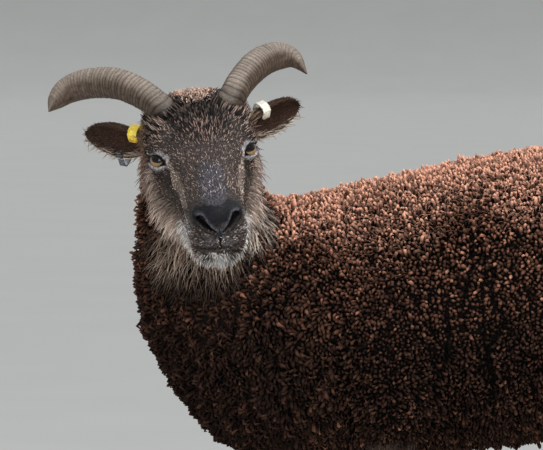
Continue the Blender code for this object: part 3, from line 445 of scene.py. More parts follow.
class Loft:
    """A closed tube through sections. Each section is a middle point and the steps from it to the
    section's top, bottom and side. Places on it are a share of its length and an angle from the top."""

    DENSE = 240

    def __init__(self, middles, tops, bottoms, sides, powers):
        rows = np.hstack([middles, tops, bottoms, sides, np.array(powers, float)[:, None]])
        self.rows = spline(rows, self.DENSE)
        steps = np.linalg.norm(np.diff(self.rows[:, :3], axis=0), axis=1)
        along = np.concatenate([[0], np.cumsum(steps)])
        self.share = along / along[-1]

    def at(self, share, angle):
        """Points of the surface. Share and angle are arrays of one length."""
        row = np.stack([np.interp(share, self.share, c) for c in self.rows.T], axis=1)
        middle, top, bottom, side, power = row[:, :3], row[:, 3:6], row[:, 6:9], row[:, 9:12], row[:, 12:]
        up, out = np.cos(angle)[:, None], np.sin(angle)[:, None]
        tall = np.abs(up) ** (2 / power)
        wide = np.sign(out) * np.abs(out) ** (2 / power)
        return middle + wide * side + tall * np.where(up >= 0, top, bottom)

    def mesh(self, name, shares, sides):
        """A closed mesh with a ring at each share."""
        turn = np.linspace(0, 2 * math.pi, sides, endpoint=False)
        points = self.at(np.repeat(shares, sides), np.tile(turn, len(shares)))
        return tube_mesh(points.reshape(len(shares), sides, 3), name)


def trunk_loft(inset):
    """The trunk and neck, inset evenly from the tips of the fleece."""
    top_x, top_z, low_x, low_z, wide, lean, power = in_metres(TRUNK_SECTIONS, 6).T
    top, bottom = columns(top_x, lean, top_z), columns(low_x, lean, low_z)
    middle = (top + bottom) / 2
    travel = np.gradient(middle, axis=0)
    side = unit(columns(travel[:, 1], -travel[:, 0], 0))
    half = (top - bottom) / 2
    tall = np.linalg.norm(half, axis=1)
    half *= (np.maximum(tall - inset, 0.25 * tall) / tall)[:, None]
    middle[:3, 0] -= inset
    return Loft(middle, half, -half, side * np.maximum(wide - inset, 0.25 * wide)[:, None], power)


def limb_loft(sections, side, foot_back=0.0, inset=0.0):
    """A leg or the fleeced top of one. Sections are across the limb, and the foot is set back evenly
    from the elbow or stifle down."""
    x, out, z, long, wide = in_metres(sections, 5).T
    low = np.clip((z[1] - z) / z[1], 0, 1)
    middle = columns(x + foot_back * low, -side * out, z)
    travel = np.gradient(middle, axis=0)
    travel[-3:] = (0, 0, -1)
    travel = unit(travel)
    ahead = columns(travel[:, 2], 0, -travel[:, 0]) * np.maximum(long - inset, 0.6 * long)[:, None]
    across = columns(0, np.maximum(wide - inset, 0.6 * wide), 0)
    return Loft(middle, ahead, -ahead, across, np.full(len(x), 2.1))


def tail_loft():
    """The tail, out to the tips of its locks."""
    x, z, thick, wide = in_metres(TAIL_SECTIONS, 4).T
    middle = columns(x, 0, z)
    travel = unit(np.gradient(middle, axis=0))
    back = columns(-travel[:, 2], 0, travel[:, 0]) * thick[:, None]
    return Loft(middle, back, -back, columns(0, wide, 0), np.full(len(x), 2.0))


def head_matrix():
    """From the head's own axes, which are along to the nose, out to the sheep's left, and up."""
    yaw, down, roll = (math.radians(x) for x in (HEAD_YAW, HEAD_DOWN, HEAD_ROLL))
    along = Vector((math.sin(yaw) * math.cos(down), -math.cos(yaw) * math.cos(down), -math.sin(down)))
    level = Vector((math.cos(yaw), math.sin(yaw), 0))
    above = along.cross(level)
    out = level * math.cos(roll) + above * math.sin(roll)
    up = above * math.cos(roll) - level * math.sin(roll)
    turned = Matrix((along, out, up)).transposed().to_4x4()
    turned.translation = HEAD_PLACE
    return turned


def head_loft():
    """The head before its soft pushes, in its own axes."""
    along, top, bottom, widest, wide, power = in_metres(HEAD_SECTIONS, 5).T
    up, down = columns(0, 0, top - widest), columns(0, 0, bottom - widest)
    return Loft(columns(along, 0, widest), up, down, columns(0, wide, 0), power)


def soft_push(points, place, reach, push):
    """How far each point is moved by a push that fades out with the distance from its place."""
    far = np.linalg.norm(points - place, axis=1) / reach
    return (np.clip(1 - far**2, 0, 1) ** 2)[:, None] * push


def push_head(points):
    """The soft pushes, on both sides, for points in the head's own axes."""
    moved = points.copy()
    for place, reach, push in HEAD_PUSHES.values():
        for side in (1, -1) if place[1] else (1,):
            flip = np.array((1, side, 1))
            moved += soft_push(points, np.array(place) * flip, reach, np.array(push) * flip)
    return moved


def evaluated_mesh(item):
    bpy.context.view_layer.update()
    graph = bpy.context.evaluated_depsgraph_get()
    return bpy.data.meshes.new_from_object(item.evaluated_get(graph))


def apply_boolean(item, operation, other):
    """Joins other to item, or cuts it out. Other is an object, or a collection of closed objects."""
    step = item.modifiers.new(operation.lower(), "BOOLEAN")
    step.operation = operation
    step.solver = "MANIFOLD"
    if isinstance(other, bpy.types.Collection):
        step.operand_type = "COLLECTION"
        step.collection = other
    else:
        step.object = other
    mesh = evaluated_mesh(item)
    item.modifiers.clear()
    item.data = mesh


def keep_largest(item):
    """Keeps only the closed surface with the most room in it."""
    built = bmesh.new()
    built.from_mesh(item.data)
    left, groups = set(built.faces), []
    while left:
        edge, group = [left.pop()], []
        while edge:
            face = edge.pop()
            group.append(face)
            near = {f for e in face.edges for f in e.link_faces} & left
            left -= near
            edge.extend(near)
        corners = np.array([v.co for f in group for v in f.verts])
        groups.append((np.ptp(corners, axis=0).prod(), group))
    groups.sort(key=lambda g: g[0])
    for _, group in groups[:-1]:
        bmesh.ops.delete(built, geom=group, context="FACES")
    built.to_mesh(item.data)
    built.free()


def eye_axes(side):
    """The middle of an eyeball and the ways it looks, along its lids, and up, in the head's axes."""
    looks = Vector((0.80, 0.63 * side, 0.29)).normalized()
    forward = Vector((1, 0, 0))
    level = (forward - looks * forward.dot(looks)).normalized()
    above = level.cross(looks) * side
    tilt = math.radians(EYE_TILT)
    along = level * math.cos(tilt) + above * math.sin(tilt)
    up = above * math.cos(tilt) - level * math.sin(tilt)
    return Vector((-0.001, EYE_OUT * side, 0.000)), looks, along, up


def mouth_line():
    """The groove between the lips, from one corner round the front to the other."""
    half = [
        (0.078, 0.0400, -0.031),
        (0.098, 0.0365, -0.0365),
        (0.115, 0.0325, -0.039),
        (0.127, 0.021, -0.0385),
    ]
    whole = half + [(0.1325, 0.0, -0.0370)] + [(a, -b, c) for a, b, c in reversed(half)]
    return spline(whole, 13)


def ear_frame(name):
    """An ear's root, and the ways that it points, that its cup opens and that its upper rim lies."""
    side = 1 if name == "left" else -1
    root, points, opens = (Vector((a, b * side, c)) for a, b, c in EARS[name])
    points.normalize()
    opens = (opens - points * opens.dot(points)).normalized()
    return root, points, opens, opens.cross(points) * side


def ear_half_width(share):
    """Half the width of an ear, at a share of its length."""
    return np.interp(share, *np.array(EAR_SHARES)[:, :2].T) * EAR_HALF_WIDTH


def ear_loft(name, lift):
    """A leaf-shaped spoon along the ear, or with a lift the one before it that hollows its cup."""
    root, points, opens, up = (np.array(v) for v in ear_frame(name))
    rows = np.array(EAR_SHARES)
    if lift:
        rows = rows[1:]
        rows[0, 1:] *= 0.45
    along = rows[:, :1] * EAR_LENGTH
    wide = rows[:, 1:2] * EAR_HALF_WIDTH
    deep = rows[:, 2:3] * EAR_HALF_DEPTH
    middle = root + along * points + opens * (deep * lift)
    back = deep * (1 + lift) - (EAR_WALL if lift else 0) * np.minimum(1, deep / 0.004)
    return Loft(middle, opens * back, -opens * back, up * wide, np.full(len(rows), 2.0))


def add_object(name, data):
    made = bpy.data.objects.new(name, data)
    bpy.context.scene.collection.objects.link(made)
    return made


def join_all(item, others):
    """Joins the others to the item, removes them, and keeps the largest closed surface."""
    group = bpy.data.collections.new("joined")
    bpy.context.scene.collection.children.link(group)
    for other in others:
        group.objects.link(other)
    apply_boolean(item, "UNION", group)
    for other in others:
        bpy.data.objects.remove(other)
    bpy.data.collections.remove(group)
    keep_largest(item)


def add_piece(name, mesh, shader, replaced=()):
    """A finished piece of the sheep, moved by the step that centres it on the floor."""
    mesh.name = name
    mesh.materials.clear()
    mesh.materials.append(shader)
    mesh.transform(Matrix.Translation(-BOX_CENTRE))
    made = add_object(name, mesh)
    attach(made, "root")
    if replaced:
        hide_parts(*replaced)


def corners_of(mesh):
    places = np.empty(len(mesh.vertices) * 3, np.float32)
    mesh.vertices.foreach_get("co", places)
    return places.reshape(-1, 3).astype(float)


def set_corners(mesh, places):
    mesh.vertices.foreach_set("co", places.astype(np.float32).ravel())
    mesh.update()


def normals_of(mesh):
    found = np.empty(len(mesh.vertices) * 3, np.float32)
    mesh.vertices.foreach_get("normal", found)
    return found.reshape(-1, 3).astype(float)


def moved_by(matrix, points):
    turn = np.array(matrix)
    return points @ turn[:3, :3].T + turn[:3, 3]


def turned_by(matrix, ways):
    return ways @ np.array(matrix)[:3, :3].T


def wave(points, size, seed):
    """A smooth wandering value from about -1 to 1, whose swells are about this size across."""
    chance = np.random.default_rng(seed)
    total = np.zeros(len(points))
    for _ in range(7):
        way = unit(chance.normal(size=3)) * (2 * math.pi / (size * chance.uniform(0.8, 1.6)))
        total += np.sin(points @ way + chance.uniform(0, 2 * math.pi))
    return total / 2.8


def to_capsule(points, start, end):
    """How far points are from a stretch of line."""
    start, end = np.array(start, float), np.array(end, float)
    run = end - start
    share = np.clip((points - start) @ run / max(run @ run, 1e-12), 0, 1)
    return np.linalg.norm(points - start - share[:, None] * run, axis=1)


def distance_to(points, line):
    """How far each point is from the nearest place of a line."""
    return np.min(np.linalg.norm(points[:, None, :] - line[None], axis=2), axis=1)


def paint(mesh, colours, name="coat"):
    """Stores a colour at each corner of the mesh."""
    layer = mesh.color_attributes.new(name, "FLOAT_COLOR", "POINT")
    full = np.ones((len(mesh.vertices), 4), np.float32)
    full[:, :3] = colours
    layer.data.foreach_set("color", full.ravel())


def refine(shape, places, reach, longest):
    """Splits the edges near some places until they are short."""
    for _ in range(3):
        edges = []
        for edge in shape.edges:
            middle = (edge.verts[0].co + edge.verts[1].co) / 2
            if edge.calc_length() > longest and any((middle - p).length < r for p, r in zip(places, reach)):
                edges.append(edge)
        bmesh.ops.subdivide_edges(shape, edges=edges, cuts=1)
        bmesh.ops.triangulate(shape, faces=[f for f in shape.faces if len(f.verts) > 3])


def eye_opening(away, along, up):
    """Places near an eyeball as across and above its middle, and how far inside the opening they are."""
    across = away @ along
    rise = away @ up - 0.0016 * across / OPEN_HALF_LENGTH
    lens = np.clip(1 - (across / OPEN_HALF_LENGTH) ** 2, 0, 1)
    within = np.minimum(OPEN_UPPER * lens - rise, rise + OPEN_LOWER * lens)
    return across, rise, np.minimum(within, OPEN_HALF_LENGTH - np.abs(across))


def shape_lids(points):
    """Lids over both eyeballs, with an almond opening, a rolled rim and the fold above."""
    moved = points.copy()
    for side in (1, -1):
        centre, looks, along, up = (np.array(v) for v in eye_axes(side))
        away = points - centre
        far = np.linalg.norm(away, axis=1)
        across, rise, within = eye_opening(away, along, up)
        ball = EYE_RADIUS + LID_THICK
        outside = ease(0.0125, 0.0200, np.hypot(across, rise))
        far = np.minimum(far, ball + 0.0004) * (1 - outside) + far * outside
        share = np.clip(0.5 + 0.5 * (far - ball) / 0.004, 0, 1)
        reach = far * share + ball * (1 - share) + 0.004 * share * (1 - share)
        wide = np.exp(-((across / 0.0135) ** 4))
        arch = np.clip(1 - (across / 0.019) ** 2, 0, 1)
        fold = rise - (OPEN_UPPER * arch + 0.0034)
        reach += wide * (0.0018 * bell(fold - 0.0024, 0.0018) - 0.0013 * bell(fold, 0.0007))
        reach -= wide * 0.0008 * bell(rise + (OPEN_LOWER * arch + 0.0034), 0.0008)
        reach += 0.0006 * bell(within + 0.0007, 0.0006) + 0.0007 * wide * ease(0.0, 0.004, rise)
        opened = ease(-0.0002, 0.0006, within)
        reach = reach * (1 - opened) + EYE_RADIUS * 0.9 * opened
        near = (away @ looks > 0.0) & (far < 0.030)
        moved[near] = (centre + unit(away) * reach[:, None])[near]
    return moved


def shape_muzzle(points, mouth):
    """Nostrils, the cleft below them and the groove between the lips."""
    moved = points.copy()
    x, y, z = points.T
    dip, rim, under = nostril_depth(points)
    moved[:, 0] += rim * 0.0016 + under * 0.0006 - dip * 0.0085
    moved[:, 1] -= dip * 0.0025 * np.sign(y)
    cleft = ease(0.100, 0.116, x) * ease(-0.039, -0.036, z) * ease(-0.013, -0.018, z)
    moved[:, 0] -= cleft * 0.0017 * bell(y, 0.0012)
    moved[:, 0] += cleft * 0.0009 * bell(np.abs(y) - 0.0045, 0.003)
    far = distance_to(points, mouth[::2])
    inward = unit(columns(0.088 - x, -y, -0.034 - z))
    depth = 0.0032 * bell(far, 0.0015) - 0.0011 * bell(far - 0.0038, 0.0018)
    return moved + inward * (ease(0.074, 0.086, x) * depth)[:, None]


def bvh_of(mesh):
    mesh.calc_loop_triangles()
    corners = [tuple(t.vertices) for t in mesh.loop_triangles]
    return BVHTree.FromPolygons([v.co for v in mesh.vertices], corners)


def fine_head():
    """The head's skin in its own axes, and the places of the groove between the lips."""
    shares = np.concatenate([np.linspace(0, 0.93, 150), np.linspace(0.933, 1.0, 34)])
    mesh = head_loft().mesh("head", shares, 132)
    built = bmesh.new()
    built.from_mesh(mesh)
    eyes = [eye_axes(side)[0] + eye_axes(side)[1] * EYE_RADIUS for side in (1, -1)]
    refine(built, [*eyes, Vector((0.126, 0.0, -0.018))], [0.016, 0.016, 0.034], 0.00065)
    built.to_mesh(mesh)
    built.free()
    points = push_head(corners_of(mesh))
    place, reach, push = CREST_ROOM
    points += soft_push(points, place, reach, push)
    set_corners(mesh, points)
    tree = bvh_of(mesh)
    mouth = np.array([tree.find_nearest(Vector(p))[0] for p in spline(mouth_line(), 120)])
    points = shape_lids(points)
    near = points[:, 0] > 0.066
    points[near] = shape_muzzle(points[near], mouth)
    set_corners(mesh, points)
    return mesh, mouth


def fine_ear(name, pose):
    """An ear with its cup hollowed out, where it stands on the sheep."""
    ear = add_object(f"ear_{name}", ear_loft(name, 0.0).mesh("ear", np.linspace(0, 1, 50), 40))
    cup = add_object("cup", ear_loft(name, 0.7).mesh("cup", np.linspace(0, 1, 46), 40))
    apply_boolean(ear, "DIFFERENCE", cup)
    bpy.data.objects.remove(cup)
    keep_largest(ear)
    ear.data.transform(pose)
    return ear


def body_form(name, inset, rings, sides):
    """Trunk, neck and the fleeced tops of the legs in one, inset evenly from the tips of the fleece."""
    body = add_object(name, trunk_loft(inset).mesh(name, np.linspace(0, 1, rings), sides))
    shares, tops = np.linspace(0, 1, rings // 2), []
    for sections in (SHOULDER_SECTIONS, THIGH_SECTIONS):
        for side in (1, -1):
            mesh = limb_loft(sections, side, 0.0, inset).mesh("leg_top", shares, sides // 2)
            tops.append(add_object("leg_top", mesh))
    join_all(body, tops)
    return body


def smoothed(item, voxel, turns):
    """The item's form with its joints softened, as a mesh."""
    again = item.modifiers.new("even", "REMESH")
    again.mode = "VOXEL"
    again.voxel_size = voxel
    soft = item.modifiers.new("soft", "SMOOTH")
    soft.iterations = turns
    soft.factor = 0.5
    mesh = evaluated_mesh(item)
    item.modifiers.clear()
    return mesh


def nostril_depth(points):
    """How deep in a nostril places on the muzzle are, from 0 to 1, and its rims above and below."""
    outer, inner = np.array((0.0196, -0.0030)), np.array((0.0042, -0.0162))
    flat = columns(np.abs(points[:, 1]), points[:, 2])
    run = inner - outer
    share = np.clip((flat - outer) @ run / (run @ run), 0, 1)
    sag = 0.0012 * np.sin(math.pi * share)[:, None] * np.array((0.5, -0.85))
    away = flat - outer - share[:, None] * run - sag
    far = np.linalg.norm(away, axis=1)
    wide = 0.0036 * (1 - share) + 0.0012
    front = ease(0.100, 0.116, points[:, 0])
    above = ease(-0.001, 0.001, away @ np.array((-0.68, 0.73)))
    rim = front * bell(far - wide - 0.0016, 0.0015)
    return front * ease(1.25, 0.30, far / wide), rim * above, rim * (1 - above)


def nose_distance(mirrored):
    """How far places are from the middle of the bare nose pad, as a share of its reach."""
    start, end, reach = FACE_MARKS["nose"][:3]
    return to_capsule(mirrored, start, end) / reach


def face_colour(points):
    """The colour of the skin and hair at places in the head's axes, with painted shadow over the upper lids,
    a painted highlight on the upper nostril rims, and painted shade under those rims and deep in the
    nostrils.
    """
    mirrored = mirror(points)
    colour = np.tile(np.array(FACE_BASE), (len(points), 1))
    blur = 0.15 * wave(points, 0.012, 40) + 0.1 * wave(points, 0.004, 41)
    for start, end, reach, tone, strength in FACE_MARKS.values():
        far = to_capsule(mirrored, start, end) / reach + blur
        colour = mix(colour, tone, strength * ease(1.15, 0.55, far))
    centre, looks, along, up = (np.array(v) for v in eye_axes(1))
    away = mirrored - centre
    across, rise, within = eye_opening(away, along, up)
    front = away @ looks > 0
    outer = np.where(rise > 0, 0.0072 + 0.0068 * ease(-0.004, 0.009, across), 0.0088) + 0.0020 * blur
    ring = ease(outer, outer - 0.0055, -within) * front * np.where(rise > 0, 0.75, 0.85)
    # The dark lid band is wider above the eye, as painted shadow of the upper lid.
    lid = np.where(rise > 0, 0.0034, 0.0013) + 0.0025 * ease(0.007, 0.013, np.abs(across))
    dip, rim, under = nostril_depth(points)
    # Eye ring, then lid rims with painted shadow above, painted highlight on the upper nostril rims, and
    # painted shade under them and deep in the nostrils.
    layers = [
        (EYE_RING, ring),
        (LID_RIM_AND_SHADOW, ease(lid, lid - 0.0010, -within) * front),
        (NOSTRIL_RIM_HIGHLIGHT, 0.7 * rim),
        (NOSTRIL_SHADE, 0.75 * under),
        (NOSTRIL_DEEP_SHADE, ease(0.20, 0.75, dip)),
    ]
    for tone, share in layers:
        colour = mix(colour, tone, share)
    return colour


def fleece_tone(facings, places):
    """The colour of the fleece's tips: paler along the back and where the wool faces up, partly from sun
    bleaching and partly as painted top light, and darker down the flank, belly and breast as painted shade.
    """
    # Paler where the wool faces up and stands high, partly sun bleaching and partly painted top light.
    high = facings[:, 2] + 2.2 * (places[:, 2] - 0.53) + 0.12 * wave(places, 0.09, 13)
    # Darker low on the body and on the breast, as painted shade.
    low = ease(0.48, 0.32, places[:, 2] + 0.02 * wave(places, 0.12, 14))[:, None]
    breast = (ease(-0.10, -0.20, places[:, 0]) * ease(0.46, 0.40, places[:, 2]))[:, None]
    tip = FLEECE_TIP * (1 - 0.72 * low) * (1 - 0.45 * breast)
    return mix(tip, FLEECE_BACK_BLEACHED_AND_LIT, ease(0.20, 1.05, high))


def in_head_axes(part, pose):
    """A copy of a part's mesh, brought back to the head's own axes."""
    mesh = part.copy()
    mesh.transform(pose.inverted())
    return mesh


def skin_colours(points, pose, parts, mouth):
    """The colour of the skin at each of its points, and which of them are the face's."""
    # The skin under the fleece takes the fleece's painted deep shade.
    colours = np.tile(FLEECE_DEEP_SHADE, (len(points), 1))
    face = np.zeros(len(points), bool)
    trees = {name: bvh_of(part) for name, part in parts.items() if name != "tail"}
    for i, point in enumerate(points):
        for name, tree in trees.items():
            if tree.find_nearest(Vector(point), SKIN_MATCH)[0] is not None:
                face[i] = name == "head"
                colours[i] = EAR_SKIN if name.startswith("ear") else LEG_COLOUR * 0.6
                break
    on_face = moved_by(pose.inverted(), points)[face]
    shown = face_colour(on_face)
    shown *= (0.45 + 0.5 * ease(0.20, 0.50, shown.mean(axis=1)))[:, None]
    # Painted shade along the groove between the lips.
    colours[face] = mix(shown, MOUTH_SHADE, ease(0.0026, 0.0012, distance_to(on_face, mouth[::4])))
    return colours, face


def make_skin(pose):
    """One skin for all the flesh, and the meshes that its parts were made from."""
    head_mesh, mouth = fine_head()
    head_mesh.transform(pose)
    parts = {"head": head_mesh.copy()}
    skin = body_form("skin", FLEECE_RISE, 60, 48)
    others = [add_object("head", head_mesh)]
    for name in ("left", "right"):
        ear = fine_ear(name, pose)
        parts[f"ear_{name}"] = ear.data.copy()
        others.append(ear)
    for name, (sections, side, foot_back) in LEGS.items():
        mesh = limb_loft(sections, side, foot_back, 0.0012).mesh("leg", np.linspace(0, 1, 90), 36)
        parts[f"leg_{name}"] = mesh.copy()
        others.append(add_object("leg", mesh))
    tail = tail_loft()
    parts["tail"] = tail.mesh("tail_tips", np.linspace(0, 1, 60), 28)
    tail.rows[:, 3:12] *= 0.62
    others.append(add_object("tail", tail.mesh("tail", np.linspace(0, 1, 40), 20)))
    join_all(skin, others)
    mesh = skin.data.copy()
    bpy.data.objects.remove(skin)
    points = corners_of(mesh)
    colours, face = skin_colours(points, pose, parts, mouth)
    paint(mesh, colours)
    wet = ease(1.1, 0.7, nose_distance(mirror(moved_by(pose.inverted(), points)))) * face
    layer = mesh.attributes.new("wet", "FLOAT", "POINT")
    layer.data.foreach_set("value", wet.astype(np.float32))
    mesh.shade_smooth()
    return mesh, parts, mouth


def scatter(mesh, spacing, seed):
    """Places spread evenly over a mesh, and the way that its skin faces at each."""
    chance = np.random.default_rng(seed)
    mesh.calc_loop_triangles()
    corners = np.empty(len(mesh.loop_triangles) * 3, np.int32)
    mesh.loop_triangles.foreach_get("vertices", corners)
    corners = corners.reshape(-1, 3).T
    a, b, c = corners_of(mesh)[corners]
    area = np.linalg.norm(np.cross(b - a, c - a), axis=1) / 2
    tries = int(TRIES_PER_PLACE * area.sum() / (0.866 * spacing**2))
    pick = chance.choice(len(area), tries, p=area / area.sum())
    u, v = chance.random((2, tries, 1))
    fold = u + v > 1
    u, v = np.where(fold, 1 - u, u), np.where(fold, 1 - v, v)
    places, facings = (
        p * (1 - u - v) + q * u + r * v
        for p, q, r in (ends[corners[:, pick]] for ends in (corners_of(mesh), normals_of(mesh)))
    )
    cells = np.floor(places / spacing).astype(int).tolist()
    taken, kept = {}, []
    steps = [(i, j, k) for i in (-1, 0, 1) for j in (-1, 0, 1) for k in (-1, 0, 1)]
    limit = spacing**2
    for number, (x, y, z) in enumerate(places.tolist()):
        cx, cy, cz = cells[number]
        clear = True
        for i, j, k in steps:
            for ox, oy, oz in taken.get((cx + i, cy + j, cz + k), ()):
                if (ox - x) ** 2 + (oy - y) ** 2 + (oz - z) ** 2 < limit:
                    clear = False
                    break
            if not clear:
                break
        if clear:
            taken.setdefault((cx, cy, cz), []).append((x, y, z))
            kept.append(number)
    return places[kept], unit(facings)[kept]


def chart(points, name, axis, centre, across, low, high):
    """Places on an unwrap of a part: the turn about its axis, and how far along it they are."""
    axis, across = unit(np.array(axis, float)), unit(np.array(across, float))
    other = np.cross(axis, across)
    away = points - np.array(centre)
    turn = np.arctan2(away @ other, away @ across) / (2 * math.pi) + 0.5
    along = np.clip((away @ axis - low) / (high - low), 0, 1)
    left, bottom, wide, tall = CHARTS[name]
    return np.stack([left + turn * (wide - PATCH), bottom + along * (tall - PATCH)], axis=1)


def head_roots(points):
    return chart(points, "head", (1, 0, 0), (0, 0, -0.02), (0, 0, -1), -0.125, 0.135)


def body_roots(places):
    """Where the roots of the fleece's locks are on the unwrap."""
    return chart(places, "body", (1, 0, 0), (0, 0, 0.40), (0, 0, -1), -0.36, 0.46)


def make_tufts(name, shader, lines, radii, sides, facing, flat, roots, colours):
    """Closed-ended tubes along many lines at once, in pieces of a limited size."""
    count, rings = lines.shape[:2]
    each = (rings - 1) * sides * 2 + sides - 2
    pieces = max(1, math.ceil(count * each / TRIANGLES_PER_PIECE))
    order = np.argsort(lines[:, 0, 0])
    for number, chosen in enumerate(np.array_split(order, pieces)):
        label = name if pieces == 1 else f"{name}_{number + 1}"
        mesh = tuft_mesh(label, sides, flat, *only(chosen, lines, radii, facing, roots, colours))
        add_piece(label, mesh, shader)
    return count * each


def tuft_mesh(name, sides, flat, lines, radii, facing, roots, colours):
    """One mesh of tubes along lines, each unwrapped to a small patch at its root."""
    count, rings = lines.shape[:2]
    travel = unit(np.gradient(lines, axis=1))
    first = unit(facing[:, None, :] - travel * np.sum(travel * facing[:, None, :], axis=2, keepdims=True))
    second = np.cross(travel, first)
    turns = 2 * math.pi * np.arange(sides) / sides
    up, out = np.cos(turns)[:, None], flat * np.sin(turns)[:, None]
    ring = up * first[:, :, None, :] + out * second[:, :, None, :]
    points = lines[:, :, None, :] + radii[:, :, None, None] * ring
    k, j = (grid.ravel() for grid in np.meshgrid(np.arange(rings - 1), np.arange(sides), indexing="ij"))
    after = (j + 1) % sides
    quads = np.stack([k * sides + j, k * sides + after, (k + 1) * sides + after, (k + 1) * sides + j], axis=1)
    one = np.concatenate([quads.ravel(), (rings - 1) * sides + np.arange(sides)])
    corners = (np.arange(count)[:, None] * rings * sides + one[None]).ravel()
    starts = (np.arange(count)[:, None] * len(one) + 4 * np.arange(len(quads) + 1)[None]).ravel()
    mesh = bpy.data.meshes.new(name)
    mesh.vertices.add(count * rings * sides)
    mesh.vertices.foreach_set("co", points.astype(np.float32).ravel())
    mesh.loops.add(len(corners))
    mesh.loops.foreach_set("vertex_index", corners.astype(np.int32))
    mesh.polygons.add(len(starts))
    mesh.polygons.foreach_set("loop_start", starts.astype(np.int32))
    mesh.update(calc_edges=True)
    mesh.shade_smooth()
    across = np.stack([j, j + 1, j + 1, j], axis=1).ravel() / sides
    along = np.stack([k, k, k + 1, k + 1], axis=1).ravel() / rings
    cap = columns((np.cos(turns) + 1) / 2, (rings - 0.5 + 0.5 * np.sin(turns)) / rings)
    patch = np.vstack([columns(across, along), cap]) * PATCH
    layer = mesh.uv_layers.new(name="OFBake")
    layer.data.foreach_set("uv", (roots[:, None, :] + patch[None]).astype(np.float32).ravel())
    paint(mesh, np.repeat(colours.reshape(-1, 3), sides, axis=0))
    return mesh


def tangents(facings, way):
    """The way along the skin that is nearest to a wanted one, and the way across it."""
    along = unit(way - facings * np.sum(way * facings, axis=1, keepdims=True))
    return along, np.cross(facings, along)


def held(colours, top=0.75):
    """Colours scaled down, with their hue kept, where a channel passes the top."""
    return colours * np.minimum(1, top / np.maximum(colours.max(axis=-1, keepdims=True), 1e-6))


def spread_tone(chance, count, amount):
    """Random factors round 1 that make some rows lighter and some darker."""
    return np.exp(chance.normal(0, amount, (count, 1)))


def ramped(colours, shares):
    """A colour for each ring of every tuft, from its root to its tip. The low shares given near the root
    paint shade deep in the coat.
    """
    return colours[:, None, :] * np.array(shares)[None, :, None]


def same_radii(count, *radii):
    return np.array(radii) * np.ones((count, 1))


def hair_lines(places, facings, way, length, rise, droop=0.5):
    """Three points along each hair: its root in the skin, its bend and its tip."""
    along, across = tangents(facings, way)
    rise, length = rise[:, None], length[:, None]
    first = along * np.cos(rise) + facings * np.sin(rise)
    last = along * np.cos(rise * droop) + facings * np.sin(rise * droop)
    root = places - facings * 0.0008
    bend = root + first * length * 0.5
    return np.stack([root, bend, bend + last * length * 0.5], axis=1), across


def clear_of_head(places, head_tree):
    """Which places stand outside the head and off its skin."""
    clear = []
    for place in places:
        near, normal, _, far = head_tree.find_nearest(Vector(place))
        clear.append(far > 0.003 and (Vector(place) - near).dot(normal) > 0)
    return clear


def crease_shares(places):
    """How deep in an upright parting places on the fleece are."""
    crease = np.zeros(len(places))
    for number, (along, low, high) in enumerate(CREASES):
        far = np.abs(places[:, 0] - along - 0.006 * wave(places, 0.06, 90 + number))
        line = ease(0.0036, 0.0008, far) * ease(low - 0.02, low + 0.01, places[:, 2])
        crease = np.maximum(crease, line * ease(high + 0.02, high - 0.01, places[:, 2]))
    return crease


def make_fleece(parts, head_tree, shader):
    """Short curled locks over the body and neck, each bent over at its tip, and the frizz of the back."""
    form = body_form("fleece_form", 0.0, 70, 56)
    mesh = smoothed(form, 0.009, 8)
    bpy.data.objects.remove(form)
    parts["fleece"] = mesh
    places, facings = scatter(mesh, FLEECE_SPACING, 21)
    places, facings = only(clear_of_head(places, head_tree), places, facings)
    count = len(places)
    chance = np.random.default_rng(22)
    along, across = tangents(facings, np.array((0.35, 0.0, -1.0)))
    hang = ease(0.48, 0.34, places[:, 2]) * ease(-0.06, -0.16, places[:, 0])
    turn = 3.0 * wave(places, 0.018, 3) + chance.normal(0, 1.15, count)
    turn *= 1 - 0.65 * hang
    hook = np.cos(turn)[:, None] * along + np.sin(turn)[:, None] * across
    size = (chance.uniform(0.65, 1.35, count) * (1 + 0.20 * hang))[:, None]
    parting = ease(0.16, 0.0, np.abs(wave(places, 0.030, 7)))
    parting = np.maximum(parting, ease(0.12, 0.0, np.abs(wave(places, 0.055, 8))))
    crease = crease_shares(places)
    lift = 0.0030 * wave(places, 0.014, 5) + chance.normal(0, 0.0012, count)
    lift = lift - 0.0042 * parting - 0.0075 * crease
    top = places + facings * (lift[:, None] - 0.0012)
    stretch = (chance.uniform(0.45, 1.25, count) * (1 + 0.9 * hang))[:, None]
    lines = [
        places - facings * 0.0165 - hook * 0.001,
        top - facings * 0.0036 * size - hook * 0.0012 * size,
        top + hook * 0.0010 * size,
        top - facings * 0.0030 * size + hook * 0.0034 * size * stretch,
    ]
    radii = np.array((0.0022, 0.0018, 0.0015, 0.0006)) * size
    tip = fleece_tone(facings, places) * spread_tone(chance, count, 0.56)
    # Painted shade on locks that sit low, in hollows and upright partings, and a painted highlight on locks
    # that stand high.
    tip *= (np.clip(1 + 95 * lift, 0.22, 1.60) * (1 - 0.7 * crease))[:, None]
    # Along each lock: painted shade deep at the root, a painted highlight on the crown of the curl, and
    # painted shade under its turned-down tip.
    shares = np.array((0.0, 0.30, 1.15, 0.70))
    colours = held(FLEECE_DEEP_SHADE * np.clip(1 - shares, 0, 1)[None, :, None] + ramped(tip, shares))
    side = np.cross(facings, hook)
    lines = np.stack(lines, axis=1)
    total = make_tufts("fleece", shader, lines, radii, 4, side, 0.85, body_roots(places), colours)
    return total + make_frizz(mesh, shader, chance)


